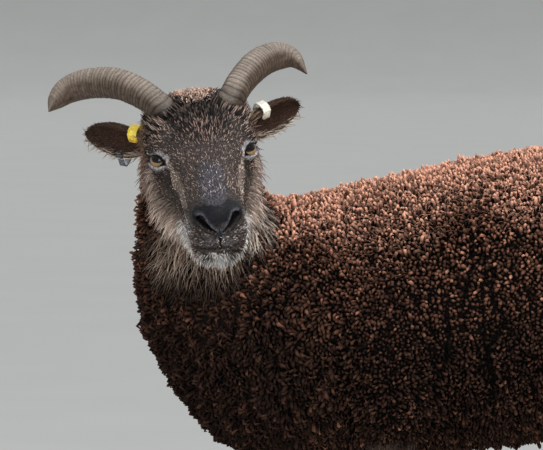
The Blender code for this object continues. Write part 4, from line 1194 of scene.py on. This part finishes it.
def make_frizz(mesh, shader, chance):
    """Fine loose hairs that stand up from the wool of the back."""
    places, facings = scatter(mesh, FRIZZ_SPACING, 23)
    places, facings = only((facings[:, 2] > 0.40) & (places[:, 0] > -0.19), places, facings)
    count = len(places)
    way = np.array((1.0, 0.0, -0.3)) + chance.normal(0, 0.9, (count, 3))
    length = chance.uniform(0.007, 0.015, count)
    lines, across = hair_lines(places - facings * 0.003, facings, way, length, np.full(count, 0.75), -0.3)
    radii = same_radii(count, 0.00045, 0.0004, 0.0001)
    colours = held(ramped(fleece_tone(facings, places) * spread_tone(chance, count, 0.3), (0.5, 0.9, 1.2)))
    return make_tufts("frizz", shader, lines, radii, 3, across, 0.6, body_roots(places), colours)


def speckled(places, chance):
    """The colour of each hair of the face: pale and dark ones mixed, but even where the face is white."""
    count = len(places)
    colour = face_colour(places)
    white = ease(0.20, 0.45, colour.mean(axis=1))[:, None]
    swell = wave(places * np.array((0.55, 1.0, 1.0)), 0.0035, 77)[:, None]
    pale = swell + chance.normal(0, 0.45, (count, 1)) > 0.25
    speckle = np.where(pale, chance.uniform(2.3, 5.2, (count, 1)), chance.uniform(0.03, 0.36, (count, 1)))
    tone = speckle * (1 - white) + chance.uniform(0.35, 1.25, (count, 1)) * white
    warm = np.where(pale, np.array((1.08, 0.97, 0.90)), np.array((0.95, 1.0, 1.05)))
    return colour * tone * warm


def make_face_hair(parts, pose, mouth, shader):
    """Short hair that lies back from the nose, longer on the brow, the cheeks and the jaw."""
    places, facings = scatter(in_head_axes(parts["head"], pose), FACE_SPACING, 31)
    mirrored = mirror(places)
    centre, looks, along, up = (np.array(v) for v in eye_axes(1))
    away = mirrored - centre
    eye = -eye_opening(away, along, up)[2]
    before = away @ looks > 0
    nose = nose_distance(mirrored)
    lips = distance_to(places, mouth[::4])
    keep = ((eye > 0.0016) | ~before) & (nose > 0.97) & ((lips > 0.0027) | (places[:, 0] < 0.08))
    keep &= to_capsule(mirrored, *FACE_MARKS["philtrum"][:2]) > 0.0023
    places, facings, mirrored, eye, nose = only(keep, places, facings, mirrored, eye, nose)
    before, away, lips = only(keep, before, away, lips)
    (x, y, z), wide, count = places.T, mirrored[:, 1], len(places)
    chance = np.random.default_rng(32)
    way = columns(-1.0, np.sign(y) * 0.35 * ease(0.0, 0.03, wide), -0.8 * ease(-0.01, -0.07, z))
    beside = ease(0.012, 0.004, eye) * before
    flip = columns(1.0, np.sign(y), 1.0)
    round_eye = unit((away - (away @ looks)[:, None] * looks) * flip) * 0.8 + np.array((-0.6, 0, 0))
    way = mix(way, round_eye, beside) + chance.normal(0, 0.20, (count, 3))
    brow = ease(0.045, 0.010, to_capsule(places, (-0.07, 0, 0.05), (0.0, 0, 0.05)))
    axis = unit(HORN_PATHS["left"][1] * np.array((-1.0, 1.0, 1.0)))
    from_root = mirrored - np.array(HORN_BASE)
    beyond = from_root @ axis
    aside = from_root - beyond[:, None] * axis
    horn = ease(0.031, 0.022, np.linalg.norm(aside, axis=1)) * (np.abs(beyond) < 0.030)
    rear = np.maximum(ease(-0.035, -0.070, z), ease(0.03, -0.05, x) * ease(0.03, 0.05, wide))
    chin = ease(0.030, 0.010, to_capsule(mirrored, (0.118, 0, -0.055), (0.09, 0.03, -0.050)))
    length = 0.0044 + 0.0022 * brow + 0.0065 * horn + 0.0055 * rear + 0.0025 * chin
    length *= chance.uniform(0.75, 1.25, count)
    length *= 1 - 0.45 * beside - 0.40 * ease(1.5, 1.0, nose) - 0.45 * ease(0.008, 0.002, lips)
    rise = 0.30 + 0.30 * brow + 0.45 * horn + 0.25 * rear + 0.15 * chin - 0.12 * beside
    lines, across = hair_lines(places, facings, way, length, rise)
    near = horn > 0.35
    half = length[near, None] * 0.5
    lines[near, 1] = lines[near, 0] + unit(axis + 0.35 * unit(aside[near])) * flip[near] * half
    lines[near, 2] = lines[near, 1] + axis * flip[near] * half
    radii = np.array((0.00055, 0.00050, 0.00012)) * (0.75 + 45 * length[:, None]) * (1 + 0.45 * brow[:, None])
    colours = np.clip(ramped(speckled(places, chance), (0.35, 0.9, 1.2)), 0, 0.85)
    side, lines = turned_by(pose, across), moved_by(pose, lines)
    return make_tufts("face_hair", shader, lines, radii, 3, side, 0.5, head_roots(places), colours)


def long_hair(name, places, facings, start, end, length, colour, pose, shader, chance):
    """Soft tapered locks of four points each, in the head's axes."""
    count = len(places)
    step = length[:, None] / 3
    root = places - facings * 0.0015
    one = root + start * step
    two = one + unit(start + end) * step
    lines = np.stack([root, one, two, two + end * step], axis=1)
    radii = np.array((0.9, 1.0, 0.75, 0.12)) * LOCK_RADIUS * chance.uniform(0.7, 1.25, (count, 1))
    tones = ramped(colour, (0.45, 0.8, 1.05, 1.25))
    colours = np.clip(tones * chance.uniform(0.45, 1.45, (count, 1, 1)), 0, 0.85)
    side = turned_by(pose, unit(np.cross(facings, start)))
    lines = moved_by(pose, lines)
    return make_tufts(name, shader, lines, radii, 3, side, 0.5, head_roots(places), colours)


def ruff_length(places):
    """How long the ruff is at places on the head: longest on the jaw and jowl, and short on the chin."""
    x, y, z = mirror(places).T
    jaw = ease(-0.030, -0.056, z) * ease(0.095, 0.050, x)
    chin = 0.30 * ease(-0.046, -0.054, z) * ease(0.060, 0.085, x)
    cheek = ease(0.030, -0.015, x) * ease(0.040, 0.052, y) * ease(-0.010, -0.040, z)
    behind = ease(-0.030, -0.045, x) * ease(0.025, 0.0, z)
    jowl = ease(0.085, 0.045, x) * ease(0.020, 0.034, y)
    jowl *= ease(-0.028, -0.050, z) * ease(-0.025, 0.020, x)
    return np.max([jaw, 0.55 * cheek, 0.4 * behind, chin, 1.35 * jowl], axis=0)


def make_ruff(parts, pose, shader):
    """Long soft locks on the cheeks and the jaw, and on the throat below them."""
    places, facings = scatter(in_head_axes(parts["head"], pose), RUFF_SPACING, 33)
    long = ruff_length(places)
    places, facings, long = only(long > 0.10, places, facings, long)
    chance = np.random.default_rng(34)
    down = np.array(pose.inverted().to_3x3() @ Vector((0, 0, -1)))
    length = (0.007 + 0.021 * long) * chance.uniform(0.65, 1.15, len(places))
    back = np.array((-1.0, 0.0, 0.0))
    jitter = chance.normal(0, 0.16, places.shape)
    outward = unit(places * np.array((0.0, 1.0, 1.0)) + np.array((0.0, 0.0, 0.020)))
    ahead = ease(-0.020, 0.030, places[:, :1])
    start = unit((0.60 + 0.30 * ahead) * outward + (0.65 - 0.25 * ahead) * back + 0.15 * down + jitter)
    end = unit((0.35 + 0.40 * ahead) * outward + 0.10 * back + 0.75 * down + 1.4 * jitter)
    colour = face_colour(places) * 0.8 + 0.2 * np.array((0.52, 0.40, 0.33))
    colour = mix(colour, RUFF_EDGE, 0.6 * ease(-0.020, -0.055, places[:, 0]))
    total = long_hair("ruff", places, facings, start, end, length, colour, pose, shader, chance)
    return total + make_throat(parts, pose, shader, chance)


def make_throat(parts, pose, shader, chance):
    """Long locks that hang down in pale patches on the neck."""
    places, facings = scatter(parts["fleece"], THROAT_SPACING, 37)
    away = np.array([np.linalg.norm((places[:, ::2] - m) / h, axis=1) for m, h in BIBS])
    patch, away = away.argmin(axis=0), away.min(axis=0)
    keep = (away < 0.75 + 0.35 * chance.random(len(away))) & (facings[:, 1] < -0.2) & (places[:, 1] < 0)
    places, facings, away, patch = only(keep, places, facings, away, patch)
    jitter = chance.normal(0, 0.28, places.shape)
    low = np.array((0.0, 0.0, -1.0))
    middle, half = BIBS[0]
    aside = np.clip((places[:, :1] - middle[0]) / half[0], -1, 1) * np.array((0.6, 0.0, 0.0))
    start = unit(0.70 * facings + 0.6 * low + aside + jitter)
    end = unit(0.20 * facings + 1.0 * low + aside + jitter)
    length = (0.030 - 0.008 * away) * chance.uniform(0.6, 1.15, len(places))
    fade = np.maximum(ease(0.45, 1.0, away), ease(0.452, 0.415, places[:, 2]))
    colour = mix(BIB_COLOURS[patch], BIB_EDGE, fade)
    into = pose.inverted()
    places, facings, start, end = moved_by(into, places), *(turned_by(into, w) for w in (facings, start, end))
    return long_hair("throat", places, facings, start, end, length, colour, pose, shader, chance)


def make_crest(parts, pose, shader):
    """The woolly reddish crest on the poll, between the horns and down round their roots."""
    places, facings = scatter(in_head_axes(parts["head"], pose), CREST_SPACING, 35)
    inside = ease(0.036, 0.018, to_capsule(places, (-0.085, 0, 0.030), (-0.056, 0, 0.050)))
    chance = np.random.default_rng(36)
    keep = inside > 0.05 + 0.5 * chance.random(len(inside))
    places, facings, inside = only(keep, places, facings, inside[:, None])
    count = len(places)
    along, across = tangents(facings, np.array((-1.0, 0, 0)))
    turn = chance.uniform(-3.1, 3.1, count)[:, None]
    hook = np.cos(turn) * along + np.sin(turn) * across
    top = places + facings * ((0.002 + 0.003 * inside) * chance.uniform(0.6, 1.5, (count, 1)))
    lines = [
        places - facings * 0.001,
        top - facings * 0.0020,
        top + hook * 0.0016,
        top - facings * 0.001 + hook * 0.0042,
    ]
    radii = same_radii(count, 0.0008, 0.0007, 0.0006, 0.0002)
    low = mix(np.array((0.060, 0.042, 0.035)), (0.330, 0.225, 0.175), inside)
    high = mix(np.array((0.330, 0.250, 0.205)), (0.600, 0.425, 0.345), inside)
    pale = chance.random((count, 1)) < 0.30 + 0.45 * inside
    tip = np.where(pale, high, low) * spread_tone(chance, count, 0.55)
    colours = held(ramped(tip, (0.12, 0.6, 1.0, 1.2)))
    side = turned_by(pose, np.cross(facings, hook))
    lines = moved_by(pose, np.stack(lines, axis=1))
    return make_tufts("crest", shader, lines, radii, 3, side, 0.8, head_roots(places), colours)


def make_ear_hair(parts, pose, shader):
    """Short hair on both sides of the ears, longer and paler along the lower rim and at the root."""
    total = 0
    for number, name in enumerate(("left", "right")):
        root, points, opens, up = (np.array(v) for v in ear_frame(name))
        places, facings = scatter(in_head_axes(parts[f"ear_{name}"], pose), EAR_SPACING, 51 + number)
        away = places - root
        share = (away @ points) / EAR_LENGTH
        places, facings, away, share = only(share > 0.02, places, facings, away, share)
        count = len(places)
        chance = np.random.default_rng(53 + number)
        height = (away @ up) / ear_half_width(share)
        low, rim = ease(-0.72, -0.95, height), ease(0.75, 0.95, np.abs(height))
        inner = (facings @ opens > 0.2) & (np.abs(height) < 0.9)
        near_root = ease(0.30, 0.05, share)
        way = points + np.sign(height)[:, None] * up * 0.5 * rim[:, None]
        way += chance.normal(0, 0.22, (count, 3))
        length = (0.0045 + 0.0050 * low + 0.0020 * rim + 0.0070 * near_root) * chance.uniform(0.7, 1.3, count)
        lines, across = hair_lines(places, facings, way, length, np.where(inner, 0.5, 0.3) + 0.35 * low)
        radii = same_radii(count, 0.0006, 0.00055, 0.00012)
        colour = np.where(inner[:, None], np.array((0.052, 0.027, 0.017)), np.array((0.056, 0.031, 0.021)))
        colour = mix(colour, (0.50, 0.41, 0.33), 0.9 * low)
        colour = mix(colour, (0.26, 0.18, 0.13), 0.8 * near_root)
        colour *= spread_tone(chance, count, 0.35)
        colours = np.clip(ramped(colour, (0.5, 0.95, 1.15)), 0, 0.8)
        roots = chart(places, "ears", points, root, opens, 0.0, EAR_LENGTH * 1.05)
        lines, side = moved_by(pose, lines), turned_by(pose, across)
        total += make_tufts(f"ear_hair_{name}", shader, lines, radii, 3, side, 0.5, roots, colours)
    return total


def make_leg_hair(parts, shader):
    """Short hair that lies down the legs, longer at their tops."""
    total = 0
    for number, name in enumerate(LEGS):
        places, facings = scatter(parts[f"leg_{name}"], LEG_SPACING, 61 + number)
        places, facings = only((places[:, 2] > 0.032) & (places[:, 2] < 0.27), places, facings)
        count = len(places)
        chance = np.random.default_rng(71 + number)
        way = np.array((0.0, 0.0, -1.0)) + chance.normal(0, 0.14, (count, 3))
        high, coronet = ease(0.19, 0.25, places[:, 2]), ease(0.045, 0.034, places[:, 2])
        length = (0.0075 + 0.006 * high + 0.001 * coronet) * chance.uniform(0.8, 1.25, count)
        lines, across = hair_lines(places, facings, way, length, 0.16 + 0.22 * high + 0.1 * coronet)
        radii = same_radii(count, 0.0011, 0.0010, 0.0002)
        colour = LEG_COLOUR * spread_tone(chance, count, 0.3) * (1 + 0.25 * wave(places, 0.05, 73))[:, None]
        colours = ramped(colour, (0.55, 0.95, 1.15))
        middle = places.mean(axis=0)
        roots = chart(places, "legs", (0, 0, 1), (middle[0], middle[1], 0), (1, 0, 0), 0.0, 0.30)
        total += make_tufts(f"leg_hair_{name}", shader, lines, radii, 3, across, 0.5, roots, colours)
    return total


def make_tail_hair(parts, shader):
    """Locks that hang down over the tail."""
    places, facings = scatter(parts["tail"], TAIL_SPACING, 81)
    count = len(places)
    chance = np.random.default_rng(82)
    along = tangents(facings, np.array((0.15, 0.0, -1.0)))[0]
    way = unit(along + chance.normal(0, 0.25, (count, 3)))
    size = chance.uniform(0.8, 1.25, (count, 1))
    two = places - facings * 0.0010 + way * 0.006 * size
    lines = [
        places - facings * 0.008,
        places - facings * 0.003 + way * 0.001,
        two,
        two + (way - 0.4 * facings) * 0.006 * size,
    ]
    radii = np.array((0.0016, 0.0018, 0.0014, 0.0003)) * size
    tip = (0.6 * FLEECE_TIP + 0.4 * FLEECE_BACK_BLEACHED_AND_LIT) * spread_tone(chance, count, 0.3)
    colours = ramped(tip, (0.15, 0.5, 1.0, 1.0))
    roots = chart(places, "body", (0, 0, 1), (0.43, 0, 0), (1, 0, 0), -0.2, 0.9)
    side = unit(np.cross(facings, way))
    lines = np.stack(lines, axis=1)
    return make_tufts("tail_hair", shader, lines, radii, 4, side, 0.7, roots, colours)


def horn_frames(name, side):
    """A horn's middle line, the ways to its keel and across it, how far along each place is, and its size."""
    flip = np.array((-1, side, 1))
    root = np.array(HORN_BASE) * np.array((1, side, 1))
    line = spline(np.vstack([HORN_SUNK, HORN_PATHS[name]]) * flip + root, HORN_RINGS)
    size = np.maximum(spline([[t] for t in [1.0, *HORN_TAPER]], HORN_RINGS), 0.04)
    travel = unit(np.gradient(line, axis=0))
    keel, above = np.zeros_like(travel), np.array((0.35, 0.0, 1.0))
    for i, way in enumerate(travel):
        above = unit(above - way * (above @ way))
        keel[i] = above
    along = np.concatenate([[0], np.cumsum(np.linalg.norm(np.diff(line, axis=0), axis=1))])
    return line, keel, np.cross(travel, keel), along, size


def growth_marks(length, chance):
    """Where the growth rings of a horn start, closer together towards its tip, and how strong each is."""
    marks, at = [], 0.010
    while at < length * 0.93:
        marks.append(at)
        at += (0.0046 - 0.0010 * at / length) * chance.uniform(0.65, 1.4)
    return np.array(marks), chance.uniform(0.55, 1.0, len(marks))


def fine_horn(name, side, pose):
    """A horn with its growth rings and the fine ridges between them, with a painted highlight along its upper
    side and painted shade in its grooves.
    """
    line, keel, across, along, size = horn_frames(name, side)
    marks, strength = growth_marks(along[-1], np.random.default_rng(90 + side))
    turns = 2 * math.pi * np.arange(HORN_SIDES) / HORN_SIDES
    up, out = np.cos(turns), np.sin(turns)
    place = along[:, None] + 0.0022 * up[None] + 0.0006 * np.sin(3 * turns + 1.0)[None]
    number = np.clip(np.searchsorted(marks, place) - 1, 0, len(marks) - 2)
    share = np.clip((place - marks[number]) / (marks[number + 1] - marks[number]), 0, 1)
    swell = np.sin(math.pi * share) ** 0.7 * strength[number]
    reach = (along / along[-1])[:, None]
    ringed = 0.30 + 0.70 * ease(0.85, 0.40, reach)
    fade = ease(0, 0.02, along)[:, None] * ease(1.0, 0.80, reach) * ringed
    relief = (swell - 0.55 + np.sin(place * 2 * math.pi / 0.0017) * 0.12) * fade * 0.0010
    notch = 0.0013 * bell(reach - 0.60, 0.016) * np.clip(up, 0, 1)
    tall = HORN_HALF_DEPTH * size + relief - notch
    wide = HORN_HALF_WIDTH * size + relief
    points = line[:, None, :] + keel[:, None, :] * (tall * up)[:, :, None]
    points = points + across[:, None, :] * (wide * np.abs(out) ** 0.85 * np.sign(out))[:, :, None]
    mesh = tube_mesh(points, name)
    mesh.transform(pose)
    # Painted highlight along the horn's upper side, stronger on the ridges.
    upper = ease(0.55, 1.0, up)[None] * (0.4 + 0.6 * swell)
    cut = ease(0.55, 0.10, swell) * ringed * (place < marks[-1])
    flat = points.reshape(-1, 3)
    streak = (0.22 * wave(flat, 0.007, 95) + 0.20 * wave(flat, 0.0024, 96)).reshape(*share.shape, 1)
    # Ridges lighter and the grooves between growth rings darker, as painted shade in the grooves.
    colour = HORN_COLOUR * (0.80 + 0.35 * swell)[:, :, None] * (1 + streak * np.array((1.0, 1.05, 1.1)))
    colour = mix(colour.reshape(-1, 3), HORN_GROOVE, 0.85 * cut).reshape(points.shape)
    colour += 0.12 * np.array((1.0, 0.90, 0.78)) * upper[:, :, None]
    colour *= (0.42 + 0.58 * ease(0.010, 0.034, along))[:, None, None]
    paint(mesh, colour.reshape(-1, 3))
    mesh.shade_smooth()
    return mesh


def add_node(material, kind, **values):
    """A new node of a material, with its sockets set by name."""
    made = material.node_tree.nodes.new(f"ShaderNode{kind}")
    for name, value in values.items():
        made.inputs[name.replace("_", " ")].default_value = value
    return made


def link(material, start, out, end, into):
    material.node_tree.links.new(start.outputs[out], end.inputs[into])


def surface(name, size, detail):
    """A material, its shader, and a fine noise over the object."""
    made = bpy.data.materials.new(name)
    made.use_nodes = True
    noise = add_node(made, "TexNoise", Scale=size, Detail=detail)
    link(made, add_node(made, "TexCoord"), "Object", noise, "Vector")
    return made, made.node_tree.nodes["Principled BSDF"], noise


def add_relief(material, noise, shader, strength, depth):
    """Fine relief over a shader's surface, from its noise."""
    relief = add_node(material, "Bump", Strength=strength, Distance=depth)
    link(material, noise, "Fac", relief, "Height")
    link(material, relief, "Normal", shader, "Normal")


def stored(material, name):
    """A node that reads what a mesh stores at its corners under this name."""
    made = add_node(material, "Attribute")
    made.attribute_name = name
    return made


def new_shader(name, roughness, bump=0.0, bump_size=800.0, bump_depth=0.001, mottle=0.25, shine=0.3):
    """A surface that takes its colour from the painted coat, mottled by fine noise."""
    made, shader, noise = surface(name, bump_size, 3.0)
    shader.inputs["Roughness"].default_value = roughness
    shader.inputs["Specular IOR Level"].default_value = shine
    spread = add_node(made, "MapRange", From_Min=0.3, From_Max=0.7, To_Min=1 - mottle, To_Max=1 + mottle)
    link(made, noise, "Fac", spread, "Value")
    tint = add_node(made, "VectorMath")
    tint.operation = "SCALE"
    link(made, stored(made, "coat"), "Color", tint, 0)
    link(made, spread, "Result", tint, "Scale")
    link(made, tint, "Vector", shader, "Base Color")
    if bump:
        add_relief(made, noise, shader, bump, bump_depth)
    return made


def soften_nose(hide):
    """Makes the hide smoother where it is bare and damp."""
    rough = add_node(hide, "MapRange", To_Min=0.80, To_Max=0.55)
    link(hide, stored(hide, "wet"), "Fac", rough, "Value")
    link(hide, rough, "Result", hide.node_tree.nodes["Principled BSDF"], "Roughness")


def plain_shader(name, colour, roughness, metallic=0.0, mottle=0.15, size=300.0):
    """A moulded or metal surface with faint stains and wear."""
    made, shader, noise = surface(name, size, 4.0)
    shader.inputs["Metallic"].default_value = metallic
    ramp = add_node(made, "ValToRGB")
    for stop, place, share in zip(ramp.color_ramp.elements, (0.35, 0.65), (1 - mottle, 1 + mottle)):
        stop.position = place
        stop.color = (*(min(c * share, 1) for c in colour), 1)
    link(made, noise, "Fac", ramp, "Fac")
    link(made, ramp, "Color", shader, "Base Color")
    rough = add_node(made, "MapRange", To_Min=roughness - 0.08, To_Max=roughness + 0.12)
    link(made, noise, "Fac", rough, "Value")
    link(made, rough, "Result", shader, "Roughness")
    add_relief(made, noise, shader, 0.15, 0.0005)
    return made


def eye_colour(points):
    """Iris, level pupil and the dark ring round the iris, for places on an eyeball in its own axes, with
    painted shadow of the upper lid over its top.
    """
    ahead = Vector((0.05, 0.06, 1.0)).normalized()
    points = points @ np.array(Vector((0, 0, 1)).rotation_difference(ahead).to_matrix())
    across, rise = points[:, 0], points[:, 1]
    far = np.hypot(across, rise)
    spokes = 0.5 + 0.5 * np.sin(np.arctan2(rise, across) * 46 + 3 * np.sin(far * 3000))
    iris = np.array((0.34, 0.205, 0.085)) * (0.65 + 0.55 * spokes[:, None])
    iris *= (1 - 0.5 * ease(0.0060, 0.0086, far))[:, None]
    colour = mix(iris, (0.045, 0.028, 0.022), ease(0.0084, 0.0092, far))
    blunt = (np.abs(across / 0.0066) ** 3 + np.abs((rise - 0.0018) / 0.0032) ** 3) ** (1 / 3)
    colour = mix(colour, (0.004, 0.004, 0.006), ease(1.1, 0.9, blunt))
    # Painted shadow of the upper lid darkens the top of the eye.
    return colour * (1 - 0.85 * ease(0.0008, 0.0040, rise)[:, None])


def make_eyes(pose, shader):
    """The eyeballs, each with a slight bulge in front."""
    for side, name in ((1, "left"), (-1, "right")):
        centre, looks, along, up = eye_axes(side)
        built = bmesh.new()
        bmesh.ops.create_uvsphere(built, u_segments=96, v_segments=96, radius=EYE_RADIUS)
        mesh = bpy.data.meshes.new("eye")
        built.to_mesh(mesh)
        built.free()
        points = corners_of(mesh)
        far = np.hypot(points[:, 0], points[:, 1])
        bulge = np.where(points[:, 2] > 0, 0.0009 * ease(0.0095, 0.0, far), 0)
        paint(mesh, eye_colour(points) * (points[:, 2:] > 0) + 0.03 * (points[:, 2:] <= 0))
        points[:, 2] += bulge
        set_corners(mesh, points)
        mesh.shade_smooth()
        turn = Matrix((along, up, looks)).transposed().to_4x4()
        mesh.transform(pose @ Matrix.Translation(centre) @ turn)
        add_piece(f"eyeball_{name}", mesh, shader, [f"eye_{name}"])


def claw_place(x, y, z):
    """Where a corner of a cube of size 1 goes on a claw: ahead, out from the cleft, and up."""
    square = max(abs(2 * x), abs(2 * y), 1e-6)
    blunt = max((abs(2 * x) ** 7 + abs(2 * y) ** 7) ** (1 / 7), 1e-6)
    ahead, height, out = 0.5 - x * square / blunt, z + 0.5, y * square / blunt + 0.5
    length = HOOF_LENGTH * (1 - 0.30 * height)
    narrow = 1 - 0.45 * max(ahead - 0.35, 0) ** 1.5 * 1.6 - 0.12 * height
    narrow -= 0.25 * max(0.3 - ahead, 0)
    ring = 0.0003 * math.sin(height * 26) * (0 < height < 1)
    slope = 0.0 if height < 0.01 else 1.0
    drop = 1 - 0.52 * slope * max(ahead - 0.45, 0)
    forward = -(ahead - 0.42) * (length + ring) + 0.004 * height
    return forward, CLEFT / 2 + out * (CLAW_WIDTH * narrow + ring), height * HOOF_HEIGHT * drop


def make_hooves(shader):
    """Two claws to a foot, rounded at their edges, with growth rings round them."""
    for name, (sections, side, foot_back) in LEGS.items():
        foot = limb_loft(sections, side, foot_back).rows[-1, :3]
        for inner, label in ((1, "a"), (-1, "b")):
            built = bmesh.new()
            bmesh.ops.create_cube(built, size=1.0)
            bmesh.ops.subdivide_edges(built, edges=built.edges[:], cuts=15, use_grid_fill=True)
            for v in built.verts:
                x, y, z = claw_place(*v.co)
                v.co = Vector((x, y * inner, z))
            mesh = finish_mesh(built, f"claw_{name}_{label}")
            mesh.transform(Matrix.Translation((foot[0] - 0.004, foot[1], 0)))
            mesh.shade_smooth()
            high = corners_of(mesh)[:, 2:]
            tone = 0.8 + 0.35 * np.sin(high * 900) + 0.5 * ease(0.012, 0.0, high)
            paint(mesh, np.array((0.040, 0.032, 0.027)) * tone)
            add_piece(f"claw_{name}_{label}", mesh, shader, [f"hoof_{name}_{label}"])


def make_clasps(pose, shaders):
    """The small blocks that close the loop tags below the ear's rim."""
    for colour, (name, share, ahead, low) in CLASPS.items():
        root, points, opens, up = ear_frame(name)
        reach = ear_half_width(share) + 0.0032 - low
        middle = root + points * (share * EAR_LENGTH) + up * reach + opens * ahead
        built = bmesh.new()
        bmesh.ops.create_cube(built, size=1.0)
        bmesh.ops.scale(built, vec=CLASP_SIZE, verts=built.verts)
        bmesh.ops.bevel(built, geom=built.edges[:], offset=0.0007, segments=3, affect="EDGES")
        mesh = finish_mesh(built, "clasp")
        turned = Matrix((points, opens, up)).transposed().to_4x4()
        mesh.transform(pose @ Matrix.Translation(middle) @ turned)
        add_piece(f"clasp_{colour}", mesh, shaders[colour])


def studio_floor():
    """A round floor that curves up all round into a low wall, so that no horizon shows."""
    rows = [(3.0, 0.0), (STUDIO_FLAT, 0.0)]
    for k in range(1, 13):
        turn = math.pi / 2 * k / 12
        rows.append((STUDIO_FLAT + STUDIO_BEND * math.sin(turn), STUDIO_BEND * (1 - math.cos(turn))))
    rows.append((STUDIO_FLAT + STUDIO_BEND, STUDIO_WALL))
    turns = [2 * math.pi * k / STUDIO_SIDES for k in range(STUDIO_SIDES)]
    built, rings = bmesh.new(), []
    for far, high in rows:
        rings.append([built.verts.new((far * math.cos(t), far * math.sin(t), high)) for t in turns])
    built.faces.new(rings[0])
    for low, high in zip(rings, rings[1:]):
        for k in range(STUDIO_SIDES):
            j = (k + 1) % STUDIO_SIDES
            built.faces.new((low[k], high[k], high[j], low[j]))
    mesh = bpy.data.meshes.new("floor")
    built.to_mesh(mesh)
    built.free()
    mesh.shade_smooth()
    return mesh


def place_and_aim(item, place, target):
    item.location = place
    item.rotation_mode = "QUATERNION"
    item.rotation_quaternion = (target - item.location).to_track_quat("-Z", "Y")


def set_stage():
    """The studio's floor, light and camera."""
    floor = add_object("floor", studio_floor())
    floor.data.materials.append(plain_shader("floor", (0.36, 0.365, 0.355), 0.8, 0.0, 0.02, 3.0))
    world = bpy.data.worlds.new("studio")
    world.use_nodes = True
    back = world.node_tree.nodes["Background"]
    back.inputs["Color"].default_value = (0.86, 0.88, 0.90, 1)
    back.inputs["Strength"].default_value = 0.60
    bpy.context.scene.world = world
    bpy.context.scene.view_settings.view_transform = "Standard"
    for name, (kind, place, size, power, spread) in LAMPS.items():
        light = bpy.data.lights.new(name, kind)
        light.energy = power
        if kind == "SUN":
            light.angle = size
        else:
            light.size = size
            light.spread = math.radians(spread)
        place_and_aim(add_object(name, light), Vector(place), LAMP_TARGET)
    data = bpy.data.cameras.new("camera")
    data.sensor_width = 36
    data.lens = CAMERA_LENS
    camera = add_object("camera", data)
    rise = math.radians(CAMERA_RISE)
    away = Vector((0, -math.cos(rise), math.sin(rise))) * CAMERA_AWAY
    place_and_aim(camera, CAMERA_TARGET + away, CAMERA_TARGET)
    bpy.context.scene.camera = camera


def main():
    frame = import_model()
    pose = head_matrix()
    wool = new_shader("wool", 0.90, 0.6, 1400.0, 0.0006, 0.35, 0.12)
    hair = new_shader("hair", 0.65, 0.0, 900.0, 0.001, 0.15, 0.12)
    hide = new_shader("hide", 0.80, 0.9, 520.0, 0.0010, 0.85, 0.18)
    horn = new_shader("horn", 0.55, 0.4, 500.0, 0.0006, 0.25)
    claw = new_shader("claw", 0.50, 0.3, 400.0, 0.0005, 0.25)
    soften_nose(hide)
    wet = new_shader("eye", 0.06, shine=0.14)
    wet.node_tree.nodes["Principled BSDF"].inputs["Coat Weight"].default_value = 0.35
    wet.node_tree.nodes["Principled BSDF"].inputs["Coat Roughness"].default_value = 0.03
    mesh, parts, mouth = make_skin(pose)
    flesh = [n for n in frame["nodes"] if n.split("_")[0] in ("torso", "neck", "head", "tail", "leg")]
    add_piece("skin", mesh, hide, flesh + ["ear_left", "ear_right"])
    head_tree = bvh_of(parts["head"])
    total = make_fleece(parts, head_tree, wool)
    total += make_face_hair(parts, pose, mouth, hair)
    total += make_ruff(parts, pose, hair)
    total += make_crest(parts, pose, wool)
    total += make_ear_hair(parts, pose, hair)
    total += make_leg_hair(parts, hair)
    total += make_tail_hair(parts, wool)
    for name, side in (("left", 1), ("right", -1)):
        add_piece(f"ringed_horn_{name}", fine_horn(name, side, pose), horn, [f"horn_{name}"])
    make_eyes(pose, wet)
    make_hooves(claw)
    tags = {
        "ear_tag_yellow": plain_shader("yellow_plastic", (0.90, 0.66, 0.085), 0.42),
        "ear_tag_white": plain_shader("white_plastic", (0.74, 0.71, 0.62), 0.45),
        "ear_tag_metal": plain_shader("steel", (0.16, 0.17, 0.20), 0.42, 1.0),
    }
    for name, shader in tags.items():
        node = frame["nodes"][name]
        for spot in node.material_slots:
            spot.material = shader
    clasps = {
        # The yellow clasp is the tag's yellow darkened as painted shade.
        "yellow": plain_shader("shaded_yellow_clasp", (0.62, 0.40, 0.045), 0.50, 0.0, 0.30),
        "white": plain_shader("white_clasp", (0.42, 0.36, 0.27), 0.60, 0.0, 0.35),
    }
    make_clasps(pose, clasps)
    set_stage()
    print("coat triangles", total, "skin", len(mesh.polygons))


main()
